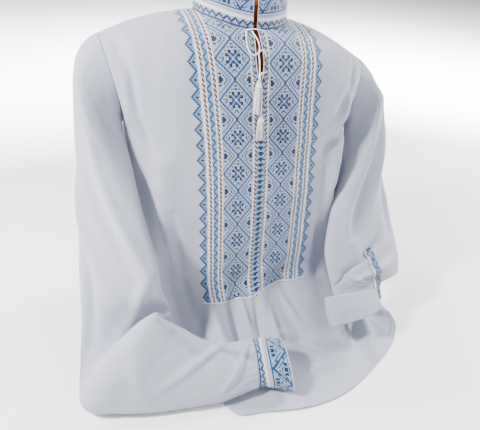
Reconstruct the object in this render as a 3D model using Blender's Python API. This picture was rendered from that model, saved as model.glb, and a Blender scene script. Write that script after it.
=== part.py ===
"""A linen shirt with an embroidered bib, worn by a limbless dress form on a table.

Metres, +Z up. The origin is the centre of the form's flat base, and its chest faces -Y.
The wearer's right is at -X. The right sleeve is folded at the elbow over the front hem.
"""

import math

import bmesh
import bpy
import numpy as np
from mathutils import Vector

# Driving sizes
WALL = 0.0015            # thickness of the shirt's cloth
CUFF_WALL = 0.0022       # cuffs and collar are two layers
SEAM_GAP = 0.0003        # gap between two pieces at a seam
FLOOR = 0.0003           # lowest level of cloth that lies on the table

NECK_HALF_WIDTH = 0.070
NECK_FRONT_DEPTH = 0.070
NECK_BACK_DEPTH = 0.062
NECK_SIDE_Z = 0.502
SHOULDER_CROWN = 0.006   # rise of each shoulder seam's middle
NECK_CROWN = 0.010       # rise of the neck's middle above the shoulder seams
NECK_SHARE = 0.27        # share of half the front that ends at the neck

SHOULDER_TIP = (0.206, 0.005, 0.460)
UNDERARM = (0.184, 0.000, 0.345)
TILT = 0.080             # how far the shoulders slope to the wearer's left
LEAN = -0.005            # how far the neck stands to the wearer's right
TILT_FROM_Z = 0.30
LEFT_DROOP = 0.010       # how much lower the shirt's left shoulder hangs

SKIRT_Z = 0.120          # below this the cloth swings out on to the table
SLIT_BOTTOM_Z = 0.424
SLIT_HALF_WIDTH = 0.0042

COLLAR_HEIGHT = 0.044
COLLAR_TAPER = 0.03      # how much narrower the collar is at its top
ROUNDNESS = 2.5          # exponent of the body's sections
HALF_GIRTH = 0.24        # length of cloth from a panel's middle to its side

# Sections of the shirt's body: height, half width, depth of front and of back
BODY = (
    (0.120, 0.187, 0.114, 0.104),
    (0.190, 0.186, 0.110, 0.102),
    (0.250, 0.185, 0.107, 0.100),
    (0.300, 0.184, 0.102, 0.098),
    (0.345, 0.184, 0.099, 0.096),
)

# Hem of the front on the table: share of the half front, x, y
FRONT_HEM = (
    (-1.00, -0.186, -0.045),
    (-0.80, -0.172, -0.110),
    (-0.60, -0.142, -0.172),
    (-0.42, -0.100, -0.232),
    (-0.30, -0.082, -0.286),
    (-0.15, -0.036, -0.298),
    (0.05, 0.026, -0.307),
    (0.25, 0.088, -0.300),
    (0.50, 0.168, -0.262),
    (0.75, 0.236, -0.212),
    (0.90, 0.262, -0.172),
    (1.00, 0.262, -0.132),
)

# Hem of the back on the table: share of the half back, x, y
BACK_HEM = (
    (-1.00, -0.222, 0.030),
    (-0.75, -0.220, 0.130),
    (-0.45, -0.150, 0.222),
    (0.00, 0.000, 0.262),
    (0.45, 0.155, 0.226),
    (0.75, 0.240, 0.110),
    (1.00, 0.256, -0.084),
)

# Folds of the front: share and height of both ends, half width, depth (+ is a ridge)
FRONT_FOLDS = (
    (-0.74, 0.33, -0.66, 0.14, 0.026, -0.007),
    (-0.60, 0.30, -0.52, 0.06, 0.020, 0.006),
    (0.72, 0.40, 0.52, 0.20, 0.018, 0.008),
    (0.80, 0.36, 0.72, 0.16, 0.016, -0.009),
    (-0.10, 0.10, -0.12, 0.03, 0.013, -0.007),
    (0.06, 0.11, 0.02, 0.03, 0.013, 0.007),
    (0.20, 0.10, 0.22, 0.03, 0.015, -0.006),
)

BACK_FOLDS = (
    (-0.60, 0.40, -0.50, 0.06, 0.022, 0.008),
    (-0.22, 0.30, -0.20, 0.04, 0.026, -0.007),
    (0.10, 0.34, 0.14, 0.04, 0.024, 0.008),
    (0.48, 0.42, 0.40, 0.06, 0.022, -0.008),
    (0.78, 0.36, 0.74, 0.05, 0.020, 0.009),
)

# Sleeve stations: inner edge (x, y, z), outer edge (x, y, z), bulge to the front, to the back
SLEEVE_LEFT = (
    (0.192, -0.052, 0.312, 0.230, 0.000, 0.386, 0.036, 0.030),
    (0.172, -0.084, 0.268, 0.247, -0.010, 0.314, 0.030, 0.024),
    (0.144, -0.104, 0.212, 0.268, -0.024, 0.240, 0.026, 0.022),
    (0.126, -0.124, 0.158, 0.286, -0.048, 0.170, 0.024, 0.020),
    (0.122, -0.146, 0.126, 0.291, -0.090, 0.112, 0.022, 0.018),
    (0.124, -0.158, 0.106, 0.274, -0.124, 0.090, 0.018, 0.013),
    (0.126, -0.166, 0.090, 0.2052, -0.161, 0.088, 0.011, 0.008),
    (0.128, -0.1812, 0.073, 0.2042, -0.1792, 0.069, 0.012, 0.009),
)
CUFF_LEFT = (
    (0.110, -0.172, 0.084, 0.208, -0.170, 0.080, 0.020, 0.015),
    (0.107, -0.188, 0.066, 0.208, -0.186, 0.062, 0.022, 0.015),
    (0.110, -0.202, 0.046, 0.206, -0.200, 0.046, 0.021, 0.014),
)
SLEEVE_RIGHT = (
    (-0.196, -0.052, 0.320, -0.240, 0.012, 0.376, 0.036, 0.032),
    (-0.181, -0.100, 0.252, -0.252, 0.012, 0.262, 0.028, 0.024),
    (-0.166, -0.138, 0.190, -0.262, -0.024, 0.180, 0.026, 0.022),
    (-0.156, -0.160, 0.140, -0.272, -0.090, 0.112, 0.024, 0.020),
    (-0.140, -0.166, 0.098, -0.284, -0.166, 0.046, -0.002, 0.018),
    (-0.172, -0.186, 0.122, -0.288, -0.226, 0.012, 0.022, 0.012),
    (-0.138, -0.192, 0.094, -0.244, -0.248, 0.008, 0.023, 0.010),
    (-0.104, -0.200, 0.070, -0.176, -0.262, 0.008, 0.021, 0.010),
    (-0.066, -0.204, 0.058, -0.098, -0.270, 0.010, 0.020, 0.010),
    (-0.030, -0.206, 0.058, -0.036, -0.264, 0.014, 0.019, 0.012),
    (-0.008, -0.210, 0.059, -0.012, -0.274, 0.016, 0.021, 0.013),
    (0.015, -0.216, 0.056, 0.011, -0.286, 0.015, 0.021, 0.013),
)
# Stations where the cuffs are sewn on and where they end
CUFF_RIGHT_START = 9
CUFF_RIGHT_END = 11
CUFF_RIGHT_GAP = 0.03    # part of a station between the right sleeve and its cuff
SLEEVE_LEFT_END = 7
CUFF_LEFT_END = 2
ARMHOLE_TURN = 0.75      # the underarm meets each sleeve's inner back

# The dress form: height, half width, half depth, roundness
FORM = (
    (0.000, 0.146, 0.084, 2.3),
    (0.004, 0.152, 0.089, 2.3),
    (0.120, 0.158, 0.091, 2.3),
    (0.240, 0.152, 0.087, 2.3),
    (0.330, 0.166, 0.088, 2.3),
    (0.390, 0.178, 0.080, 2.2),
    (0.425, 0.181, 0.070, 2.1),
    (0.4460, 0.182, 0.054, 2.0),
    (0.4590, 0.183, 0.042, 2.0),
    (0.4668, 0.180, 0.031, 2.0),
    (0.4757, 0.160, 0.028, 2.0),
    (0.4834, 0.138, 0.028, 2.0),
    (0.4907, 0.110, 0.030, 2.0),
    (0.4946, 0.090, 0.027, 2.0),
    (0.4962, 0.075, 0.026, 2.0),
    (0.4990, 0.062, 0.030, 2.0),
    (0.5070, 0.056, 0.040, 2.0),
    (0.5200, 0.0545, 0.050, 2.0),
    (0.5600, 0.053, 0.050, 2.0),
    (0.5720, 0.045, 0.042, 2.0),
    (0.5770, 0.028, 0.026, 2.0),
)

TRIM_WALL = 0.0010       # thickness of the strip on the left sleeve
PLACKET_WIDTH_STEPS = 3
PLACKET_LENGTH_STEPS = 7
# The strip on the left sleeve: station, turn of its right and of its left edge
PLACKET = (
    (11 / 3, 0.236, 0.284),
    (4.50, 0.215, 0.265),
    (5.20, 0.180, 0.245),
    (6.00, 0.120, 0.230),
)
PLACKET_LIFT = 0.0007

CORD_DIAMETER = 0.0016
# Routes of the tie cords over the front: x, z, distance from the cloth
TIE_LOOP = (
    (0.0065, 0.4885, 0.0016),
    (0.0000, 0.4910, 0.0030),
    (-0.0100, 0.4925, 0.0030),
    (-0.0175, 0.4900, 0.0020),
    (-0.0215, 0.4810, 0.0016),
    (-0.0205, 0.4680, 0.0016),
    (-0.0165, 0.4615, 0.0016),
    (-0.0100, 0.4615, 0.0016),
    (-0.0050, 0.4665, 0.0018),
    (-0.0046, 0.4750, 0.0018),
    (-0.0085, 0.4840, 0.0018),
    (-0.0116, 0.4885, 0.0016),
)
TIE_UPPER = (
    (0.0046, 0.4600, 0.0014),
    (-0.0005, 0.4665, 0.0040),
    (-0.0062, 0.4640, 0.0045),
    (-0.0066, 0.4530, 0.0045),
    (-0.0072, 0.4400, 0.0064),
    (-0.0085, 0.4280, 0.0085),
)
TIE_LOWER = (
    (0.0040, 0.4385, 0.0014),
    (-0.0030, 0.4375, 0.0030),
    (-0.0046, 0.4300, 0.0018),
    (-0.0036, 0.4150, 0.0020),
    (-0.0030, 0.3920, 0.0023),
    (-0.0020, 0.3790, 0.0070),
)

# Tassels: x and height of the top, distance from the cloth, length
TASSEL_1 = (-0.0085, 0.4275, 0.0085, 0.047)
TASSEL_2 = (-0.0020, 0.3785, 0.0070, 0.036)
TASSEL_HEAD = 0.009       # length of the head above the neck
TASSEL_NECK = (0.0050, 0.0027)  # half width, half depth
TASSEL_GRID = (6, 4)      # strands across and deep
# Part of the head's length above the neck, share of the neck's width
TASSEL_HEAD_FORM = ((0.30, 1.25), (0.75, 0.95), (1.0, 0.40))
# Part of the strands' length below the neck, share of the neck's width
TASSEL_SKIRT_FORM = ((0.04, 1.04), (0.45, 1.30), (1.0, 1.45))
TASSEL_UNEVEN = 0.05      # how much shorter the shortest strand is
STRAND_SHARE = 0.80       # strand's thickness as a share of its place in the grid

# Steps of the meshes
ARC_STEPS = 64
TOP_ROWS = 8
MIDDLE_ROWS = 7
SKIRT_ROWS = 9
OUTER_COLUMNS = 9
NECK_COLUMNS = 4
SLEEVE_AROUND = 24
CAP_ROWS = 4
SLEEVE_RIGHT_ROWS = 28
SLEEVE_LEFT_ROWS = 22
CUFF_ROWS = 4
COLLAR_STEPS = 34
COLLAR_ROWS = 3
FORM_AROUND = 32


def smooth_table(table, x):
    """Read a row from a table by its first column, on a smooth curve."""
    rows = np.array(table, float)
    keys = rows[:, 0]
    x = min(max(x, keys[0]), keys[-1])
    i = min(int(np.searchsorted(keys, x, side="right")) - 1, len(keys) - 2)
    i = max(i, 0)
    slopes = np.gradient(rows[:, 1:], keys, axis=0)
    step = keys[i + 1] - keys[i]
    return hermite(rows[i, 1:], slopes[i] * step, rows[i + 1, 1:], slopes[i + 1] * step,
                   (x - keys[i]) / step)


def hermite(p0, m0, p1, m1, t):
    """A point on the cubic with these ends and end tangents."""
    t2 = t * t
    t3 = t2 * t
    return ((2 * t3 - 3 * t2 + 1) * p0 + (t3 - 2 * t2 + t) * m0
            + (3 * t2 - 2 * t3) * p1 + (t3 - t2) * m1)


def ease(t):
    """0 to 1 with flat ends."""
    t = min(max(t, 0.0), 1.0)
    return t * t * (3 - 2 * t)


def unit(v):
    """The same direction at length 1."""
    return v / max(np.linalg.norm(v), 1e-12)


def tilted(p):
    """The shoulders' slope to one side, which fades out down the body."""
    share = ease((p[2] - TILT_FROM_Z) / (NECK_SIDE_Z - TILT_FROM_Z))
    reach = (p[0] - NECK_HALF_WIDTH) / (SHOULDER_TIP[0] - NECK_HALF_WIDTH)
    droop = LEFT_DROOP * min(max(reach, 0), 1) ** 2
    return np.array((p[0] + LEAN * share, p[1], p[2] - (TILT * p[0] + droop) * share))


def section_arc(roundness, width, depth):
    """Quarter of a section from the middle to the side, and its running length."""
    turn = np.linspace(0, math.pi / 2, ARC_STEPS)
    x = width * np.sin(turn) ** (2 / roundness)
    y = depth * np.cos(turn) ** (2 / roundness)
    run = np.concatenate(([0], np.cumsum(np.hypot(np.diff(x), np.diff(y)))))
    return x, y, run / run[-1]


def ring_point(z, share, side):
    """Point of the body's section at this height; side is -1 for the front, 1 for the back."""
    width, front, back = smooth_table(BODY, z)
    x, y, run = section_arc(ROUNDNESS, width, front if side < 0 else back)
    s = abs(share)
    return np.array((math.copysign(np.interp(s, run, x), share), side * np.interp(s, run, y), z))


def shoulder_point(share):
    """The shoulder seams, and the hump between them that the neckline cuts away."""
    s = abs(share)
    neck = np.array((NECK_HALF_WIDTH, SHOULDER_TIP[1], NECK_SIDE_Z))
    if s <= NECK_SHARE:
        inward = s / NECK_SHARE
        return np.array((NECK_HALF_WIDTH * share / NECK_SHARE, neck[1],
                         NECK_SIDE_Z + NECK_CROWN * (1 - inward * inward)))
    t = (s - NECK_SHARE) / (1 - NECK_SHARE)
    p = neck + (np.array(SHOULDER_TIP) - neck) * t
    p[2] += SHOULDER_CROWN * math.sin(math.pi * t)
    p[0] = math.copysign(p[0], share)
    return p


def top_tangents(share, side, start, end):
    """End tangents of the cloth's way from the shoulders down to the underarm's level."""
    reach = np.linalg.norm(end - start)
    arm = ease((abs(share) - 0.66) / 0.34)
    out = unit(np.array((0, side, -0.12)))
    down = unit(np.array((0, side * (0.08 - 0.70 * arm), -1 + 0.45 * arm)))
    return out * reach * (1.75 - 0.35 * arm), down * reach * (1.55 - 0.15 * arm)


def neckline_place(share, side, start, m0, end, m1):
    """How far down its column the cloth is cut away for the neck."""
    if abs(share) >= NECK_SHARE:
        return 0.0
    depth = NECK_FRONT_DEPTH if side < 0 else NECK_BACK_DEPTH
    reach = depth * math.sqrt(1 - (share / NECK_SHARE) ** 2) + side * SHOULDER_TIP[1]
    low, high = 0.0, 0.6
    for _ in range(24):
        t = (low + high) / 2
        if side * hermite(start, m0, end, m1, t)[1] < reach:
            low = t
        else:
            high = t
    return low


def hem_point(share, side):
    """Where the hem lies on the table."""
    table = FRONT_HEM if side < 0 else BACK_HEM
    x, y = smooth_table(table, share)
    return np.array((x, y, FLOOR + WALL))


def cloth_point(share, level, side):
    """Smooth body cloth. Level 0 is the top edge, 1 the underarm, 2 the skirt's start, 3 the hem."""
    if level <= 1:
        start = shoulder_point(share)
        end = ring_point(UNDERARM[2], share, side)
        m0, m1 = top_tangents(share, side, start, end)
        cut = neckline_place(share, side, start, m0, end, m1)
        return tilted(hermite(start, m0, end, m1, cut + (1 - cut) * level))
    if level <= 2:
        z = UNDERARM[2] + (SKIRT_Z - UNDERARM[2]) * (level - 1)
        return tilted(ring_point(z, share, side))
    start = ring_point(SKIRT_Z, share, side)
    end = hem_point(share, side)
    out = end - start
    out[2] = 0
    reach = np.linalg.norm(out)
    m0 = np.array((0, 0, -1.0)) * (SKIRT_Z + 0.4 * reach)
    return hermite(start, m0, end, out * 1.5, level - 2)


def fold_height(folds, share, z):
    """Sum of the ridges and troughs of a panel at one place."""
    total = 0.0
    here = np.array((share * HALF_GIRTH, z))
    for s0, z0, s1, z1, half_width, depth in folds:
        a = np.array((s0 * HALF_GIRTH, z0))
        b = np.array((s1 * HALF_GIRTH, z1))
        t = min(max(np.dot(here - a, b - a) / np.dot(b - a, b - a), 0), 1)
        away = np.linalg.norm(here - a - (b - a) * t) / half_width
        total += depth * math.exp(-away * away)
    return total


def body_point(share, level, side):
    """Body cloth with its folds."""
    p = cloth_point(share, level, side)
    d = 0.02
    l0, l1 = max(level - d, 0), min(level + d, 3)
    s0, s1 = max(share - d, -1), min(share + d, 1)
    along = cloth_point(share, l1, side) - cloth_point(share, l0, side)
    across = cloth_point(s1, level, side) - cloth_point(s0, level, side)
    normal = unit(np.cross(across, along)) * side
    edge = ease((1 - abs(share)) / 0.15) * ease(level / 0.35)
    folds = FRONT_FOLDS if side < 0 else BACK_FOLDS
    p = p + normal * fold_height(folds, share, p[2]) * edge
    p[2] = max(p[2], FLOOR + WALL)
    return p


def wall(name, points, quads, thickness, fix_normal=None, material=None):
    """Close a sheet of quads into a wall by moving a copy of it inwards."""
    points = [np.array(p, float) for p in points]
    normals = [np.zeros(3) for _ in points]
    edges = set()
    for quad in quads:
        a, b, c, d = (points[i] for i in quad)
        n = np.cross(c - a, d - b)
        for i in quad:
            normals[i] = normals[i] + n
        for i in range(4):
            edges.add((quad[i], quad[(i + 1) % 4]))
    count = len(points)
    inner = []
    for i, p in enumerate(points):
        n = unit(normals[i])
        if fix_normal:
            n = unit(fix_normal(i, n))
        q = p - n * thickness
        q[2] = max(q[2], 0.0)
        inner.append(q)
    faces = [tuple(quad) for quad in quads]
    faces += [tuple(count + quad[i] for i in (0, 3, 2, 1)) for quad in quads]
    for a, b in sorted(edges):
        if (b, a) not in edges:
            faces.append((b, a, count + a, count + b))
    mesh = bpy.data.meshes.new(name)
    mesh.from_pydata([tuple(p) for p in points + inner], [], faces)
    mesh.shade_smooth()
    mesh.set_sharp_from_angle(angle=math.radians(50))
    return place(name, mesh, material)


def place(name, mesh, material):
    """Put a mesh or curve into the scene under this name."""
    thing = bpy.data.objects.new(name, mesh)
    bpy.context.scene.collection.objects.link(thing)
    mesh.materials.append(material)
    return thing


def surface(name, color, roughness, sheen=0.0):
    """A plain material."""
    material = bpy.data.materials.new(name)
    material.use_nodes = True
    shader = material.node_tree.nodes["Principled BSDF"]
    shader.inputs["Base Color"].default_value = (*color, 1)
    shader.inputs["Roughness"].default_value = roughness
    shader.inputs["Metallic"].default_value = 0
    shader.inputs["Sheen Weight"].default_value = sheen
    return material


def body_shares(step_outer, step_neck):
    """Column places over a panel, closer together where the neckline is steep."""
    neck = [NECK_SHARE * math.sin(math.pi / 2 * i / step_neck) for i in range(step_neck + 1)]
    outer = [NECK_SHARE + (1 - NECK_SHARE) * i / step_outer for i in range(1, step_outer + 1)]
    half = neck + outer
    return [-s for s in reversed(half[1:])] + half


def body_levels():
    """Row places of a panel, from its top edge to its hem."""
    levels = [i / TOP_ROWS for i in range(TOP_ROWS)]
    levels += [1 + i / MIDDLE_ROWS for i in range(MIDDLE_ROWS)]
    levels += [2 + i / SKIRT_ROWS for i in range(SKIRT_ROWS + 1)]
    return levels


def body_panel(name, side, material):
    """The front, with its slit, or the back."""
    shares = body_shares(OUTER_COLUMNS, NECK_COLUMNS)
    levels = body_levels()
    columns = len(shares)
    middle = columns // 2
    points, index = [], {}
    for j, level in enumerate(levels):
        for i, share in enumerate(shares):
            p = body_point(share, level, side)
            p[1] += side * SEAM_GAP / 2
            index[i, j] = len(points)
            points.append(p)
    slit_rows = 0
    if side < 0:
        heights = [points[index[middle, j]][2] for j in range(len(levels))]
        slit_rows = sum(z > SLIT_BOTTOM_Z for z in heights)
        for j in range(slit_rows):
            along = j / slit_rows
            half = SLIT_HALF_WIDTH * (0.75 + 0.9 * along) * (1 - along ** 3) + 0.0002
            p = points[index[middle, j]]
            index["right", j] = len(points)
            points.append(p + np.array((half, 0, 0)))
            p[0] -= half
    quads = []
    for j in range(len(levels) - 1):
        for i in range(columns - 1):
            quad = [index[i, j], index[i + 1, j], index[i + 1, j + 1], index[i, j + 1]]
            if i == middle:
                quad[0] = index.get(("right", j), quad[0])
                quad[3] = index.get(("right", j + 1), quad[3])
            quads.append(quad if side > 0 else quad[::-1])
    place_of = {v: k for k, v in index.items()}

    def fix_normal(i, n):
        column, row = place_of[i]
        if column == "right":
            return n
        at_side = column in (0, columns - 1)
        if at_side and row <= TOP_ROWS:
            n = np.array((0 if row < TOP_ROWS else n[0], n[1], n[2]))
        if at_side and TOP_ROWS <= row <= TOP_ROWS + MIDDLE_ROWS:
            n = np.array((n[0], 0, n[2]))
        if row == 0 and abs(shares[column]) >= NECK_SHARE - 1e-6:
            n = np.array((n[0] if not at_side else 0, 0, n[2]))
        return n

    return wall(name, points, quads, WALL, fix_normal, material)


def armhole_point(turn, arm):
    """Armhole loop: turn 0 at the shoulder tip, 0.5 at the underarm. arm is -1 or 1 for x."""
    side = -1 if turn <= 0.5 else 1
    level = 2 * turn if turn <= 0.5 else 2 * (1 - turn)
    p = body_point(arm * 1.0, level, side)
    p[0] += arm * (SEAM_GAP + 0.0003)
    return p


def station_loop(stations, s, around, arm):
    """One loop of a sleeve or cuff at place s along its table of stations."""
    rows = np.array(stations, float)
    table = np.column_stack((np.arange(len(rows)), rows))
    now = smooth_table(table, s)
    after = smooth_table(table, min(s + 0.05, len(rows) - 1))
    before = smooth_table(table, max(s - 0.05, 0))
    centre = (now[0:3] + now[3:6]) / 2
    axis = unit((after[0:3] + after[3:6]) - (before[0:3] + before[3:6]))
    across = (now[3:6] - now[0:3]) / 2
    front = unit(np.cross(axis, across)) * arm
    loop = []
    for k in range(around):
        turn = 2 * math.pi * k / around
        bulge = now[6] if math.sin(turn) > 0 else now[7]
        c, d = math.cos(turn), math.sin(turn)
        c = math.copysign(abs(c) ** 0.9, c)
        d = math.copysign(abs(d) ** 0.9, d)
        p = centre + across * c + front * bulge * d
        p[2] = max(p[2], FLOOR)
        loop.append(p)
    return loop


def tube_wall(name, loops, thickness, arm, material, fix_normal=None):
    """A wall round a row of loops, open at both ends."""
    around = len(loops[0])
    points = [p for loop in loops for p in loop]
    quads = []
    for j in range(len(loops) - 1):
        for k in range(around):
            nxt = (k + 1) % around
            quad = [j * around + k, j * around + nxt, (j + 1) * around + nxt, (j + 1) * around + k]
            quads.append(quad if arm > 0 else quad[::-1])
    return wall(name, points, quads, thickness, fix_normal, material)


def sleeve(name, stations, arm, end, steps, material):
    """A sleeve from its armhole to its cuff."""
    turns = [(k / SLEEVE_AROUND + ARMHOLE_TURN) % 1 for k in range(SLEEVE_AROUND)]
    armhole = [armhole_point(turn, arm) for turn in turns]
    first = station_loop(stations, 0, SLEEVE_AROUND, arm)
    second = station_loop(stations, 0.2, SLEEVE_AROUND, arm)
    loops = [armhole]
    for j in range(1, CAP_ROWS):
        loop = []
        for a, b, c in zip(armhole, first, second):
            reach = np.linalg.norm(b - a)
            high = ease((a[2] - UNDERARM[2]) / (SHOULDER_TIP[2] - UNDERARM[2]))
            leave = unit(np.array((arm * (0.3 + 0.7 * high), 0, 0.6 * high - 1))) * reach
            leave = leave * (0.5 + 0.8 * high)
            loop.append(hermite(a, leave, b, unit(c - b) * reach * 0.8, j / CAP_ROWS))
        loops.append(loop)
    for s in np.linspace(0, end, steps):
        loops.append(station_loop(stations, s, SLEEVE_AROUND, arm))

    def fix_normal(i, n):
        return np.array((0, n[1], n[2])) if i < SLEEVE_AROUND else n

    return tube_wall(name, loops, WALL, arm, material, fix_normal)


def cuff(name, stations, arm, start, end, material):
    """A cuff along part of a table of stations."""
    places = np.linspace(start, end, CUFF_ROWS + 1)
    loops = [station_loop(stations, s, SLEEVE_AROUND, arm) for s in places]
    return tube_wall(name, loops, CUFF_WALL, arm, material)


def collar(material):
    """The collar stand, open at the slit."""
    points, quads = [], []
    start = math.asin(SLIT_HALF_WIDTH * 0.8 / NECK_HALF_WIDTH)
    for i in range(COLLAR_STEPS + 1):
        turn = start + (2 * math.pi - 2 * start) * i / COLLAR_STEPS
        side = -1 if math.cos(turn) > 0 else 1
        angle = math.asin(max(-1, min(1, math.sin(turn))))
        foot = cloth_point(NECK_SHARE * math.sin(angle), 0, side)
        for j in range(COLLAR_ROWS + 1):
            narrow = 1 - COLLAR_TAPER * j / COLLAR_ROWS
            p = foot * np.array((narrow, narrow, 1))
            p[2] += COLLAR_HEIGHT * j / COLLAR_ROWS + 2 * SEAM_GAP
            points.append(p)
    for i in range(COLLAR_STEPS):
        for j in range(COLLAR_ROWS):
            a = i * (COLLAR_ROWS + 1) + j
            quads.append([a, a + COLLAR_ROWS + 1, a + COLLAR_ROWS + 2, a + 1])

    def fix_normal(i, n):
        return np.array((n[0], n[1], 0))

    return wall("collar", points, quads, CUFF_WALL, fix_normal, material)


def placket(material):
    """The embroidered strip down the left sleeve, made from the sleeve's own points."""
    points, quads = [], []
    columns = PLACKET_WIDTH_STEPS + 1
    for s in np.linspace(PLACKET[0][0], PLACKET[-1][0], PLACKET_LENGTH_STEPS + 1):
        right, left = smooth_table(PLACKET, s)
        for i in range(columns):
            turn = right + (left - right) * i / PLACKET_WIDTH_STEPS
            p, out = sleeve_skin(SLEEVE_LEFT, s, turn, 1)
            points.append(p + out * (SEAM_GAP + TRIM_WALL + PLACKET_LIFT))
    for j in range(PLACKET_LENGTH_STEPS):
        for i in range(PLACKET_WIDTH_STEPS):
            a = j * columns + i
            quads.append([a, a + 1, a + columns + 1, a + columns])
    return wall("placket_left", points, quads, TRIM_WALL, None, material)


def sleeve_skin(stations, s, turn, arm):
    """A point of a sleeve's skin between two of its loop's corners, and the way out of it."""
    loop = station_loop(stations, s, SLEEVE_AROUND, arm)
    place = turn * SLEEVE_AROUND
    k = int(place)
    a, b = loop[k], loop[(k + 1) % SLEEVE_AROUND]
    last = len(stations) - 1
    ahead = station_loop(stations, min(s + 0.1, last), SLEEVE_AROUND, arm)[k]
    behind = station_loop(stations, max(s - 0.1, 0), SLEEVE_AROUND, arm)[k]
    out = unit(np.cross(b - a, ahead - behind)) * arm
    return a + (b - a) * (place - k), out


def front_at(x, z, lift):
    """A point over the front at this x and height, lifted off the cloth."""
    share, level = x / HALF_GIRTH, 0.5
    for _ in range(12):
        p = body_point(share, level, -1)
        share += (x - p[0]) / HALF_GIRTH
        drop = body_point(share, min(level + 0.02, 3), -1)[2] - body_point(share, level, -1)[2]
        level += (z - p[2]) / (drop / 0.02)
        level = min(max(level, 0), 2.9)
    return body_point(share, level, -1) + np.array((0, -lift, 0.35 * lift))


def smooth_route(points, spacing):
    """Points at even spacing on a smooth curve through the route's own points."""
    points = np.array(points, float)
    run = np.concatenate(([0], np.cumsum(np.linalg.norm(np.diff(points, axis=0), axis=1))))
    table = np.column_stack((run, points))
    dense = np.array([smooth_table(table, r) for r in np.linspace(0, run[-1], 400)])
    length = np.concatenate(([0], np.cumsum(np.linalg.norm(np.diff(dense, axis=0), axis=1))))
    count = int(length[-1] / spacing) + 1
    places = np.linspace(0, length[-1], count)
    return np.column_stack([np.interp(places, length, dense[:, i]) for i in range(3)])


def cord(name, route, material):
    """A round cord through the points of its route."""
    curve = bpy.data.curves.new(name, "CURVE")
    curve.dimensions = "3D"
    curve.bevel_depth = CORD_DIAMETER / 2
    curve.bevel_resolution = 2
    curve.use_fill_caps = True
    points = smooth_route([front_at(*row) for row in route], CORD_DIAMETER * 2.2)
    spline = curve.splines.new("POLY")
    spline.points.add(len(points) - 1)
    for point, p in zip(spline.points, points):
        point.co = (*p, 1)
    return place(name, curve, material)


def tassel(name, x, top_z, lift, length, material):
    """A tassel: a head tied at its neck, with four-sided strands that stand apart below it."""
    hang = [front_at(x, top_z - d, lift) for d in (0, TASSEL_HEAD, length)]
    columns, rows = TASSEL_GRID
    points, faces = [], []

    def add(p):
        points.append(tuple(p))
        return len(points) - 1

    def cross(i, j, grow):
        """A corner of the strands' grid, pressed into a round section."""
        a, b = 2 * i / columns - 1, 2 * j / rows - 1
        across = a * math.sqrt(1 - b * b / 2) * TASSEL_NECK[0] * grow
        return np.array((across, b * math.sqrt(1 - a * a / 2) * TASSEL_NECK[1] * grow, 0))

    rim_places = [(i, 0) for i in range(columns)] + [(columns, j) for j in range(rows)]
    rim_places += [(i, rows) for i in range(columns, 0, -1)]
    rim_places += [(0, j) for j in range(rows, 0, -1)]
    grid = {}
    for i in range(columns + 1):
        for j in range(rows + 1):
            grid[i, j] = add(hang[1] + cross(i, j, 1))
    below = [grid[key] for key in rim_places]
    for up, swell in TASSEL_HEAD_FORM:
        centre = hang[1] + (hang[0] - hang[1]) * up
        above = [add(centre + cross(i, j, swell)) for i, j in rim_places]
        for k in range(len(below)):
            nxt = (k + 1) % len(below)
            faces.append((below[k], below[nxt], above[nxt], above[k]))
        below = above
    faces.append(tuple(below))
    for i in range(columns):
        for j in range(rows):
            corners = [(i, j), (i, j + 1), (i + 1, j + 1), (i + 1, j)]
            shorter = TASSEL_UNEVEN * ((3 * i + 5 * j) % 4) / 3
            loop = [grid[key] for key in corners]
            for down, spread in TASSEL_SKIRT_FORM:
                centre = hang[1] + (hang[2] - hang[1]) * down * (1 - shorter)
                middle = cross(i + 0.5, j + 0.5, spread)
                root = cross(i + 0.5, j + 0.5, 1)
                ring = []
                for key in corners:
                    ring.append(add(centre + middle + (cross(*key, 1) - root) * STRAND_SHARE))
                for k in range(4):
                    faces.append((loop[k], loop[(k + 1) % 4], ring[(k + 1) % 4], ring[k]))
                loop = ring
            faces.append(tuple(loop))
    mesh = bpy.data.meshes.new(name)
    mesh.from_pydata(points, [], faces)
    shape = bmesh.new()
    shape.from_mesh(mesh)
    bmesh.ops.recalc_face_normals(shape, faces=shape.faces)
    shape.to_mesh(mesh)
    shape.free()
    return place(name, mesh, material)


def dress_form(material):
    """The limbless form: closed sections from the flat base to the rounded neck."""
    mesh = bpy.data.meshes.new("form")
    shape = bmesh.new()
    loops = []
    for z, width, depth, roundness in FORM:
        loop = []
        for k in range(FORM_AROUND):
            turn = 2 * math.pi * k / FORM_AROUND
            c, s = math.cos(turn), math.sin(turn)
            x = width * math.copysign(abs(c) ** (2 / roundness), c)
            y = depth * math.copysign(abs(s) ** (2 / roundness), s)
            loop.append(shape.verts.new(Vector(tilted(np.array((x, y, z))))))
        loops.append(loop)
    for low, high in zip(loops, loops[1:]):
        for k in range(FORM_AROUND):
            nxt = (k + 1) % FORM_AROUND
            shape.faces.new((low[k], low[nxt], high[nxt], high[k]))
    shape.faces.new(loops[0][::-1])
    shape.faces.new(loops[-1])
    shape.to_mesh(mesh)
    shape.free()
    mesh.shade_smooth()
    mesh.set_sharp_from_angle(angle=math.radians(50))
    return place("form", mesh, material)


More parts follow.
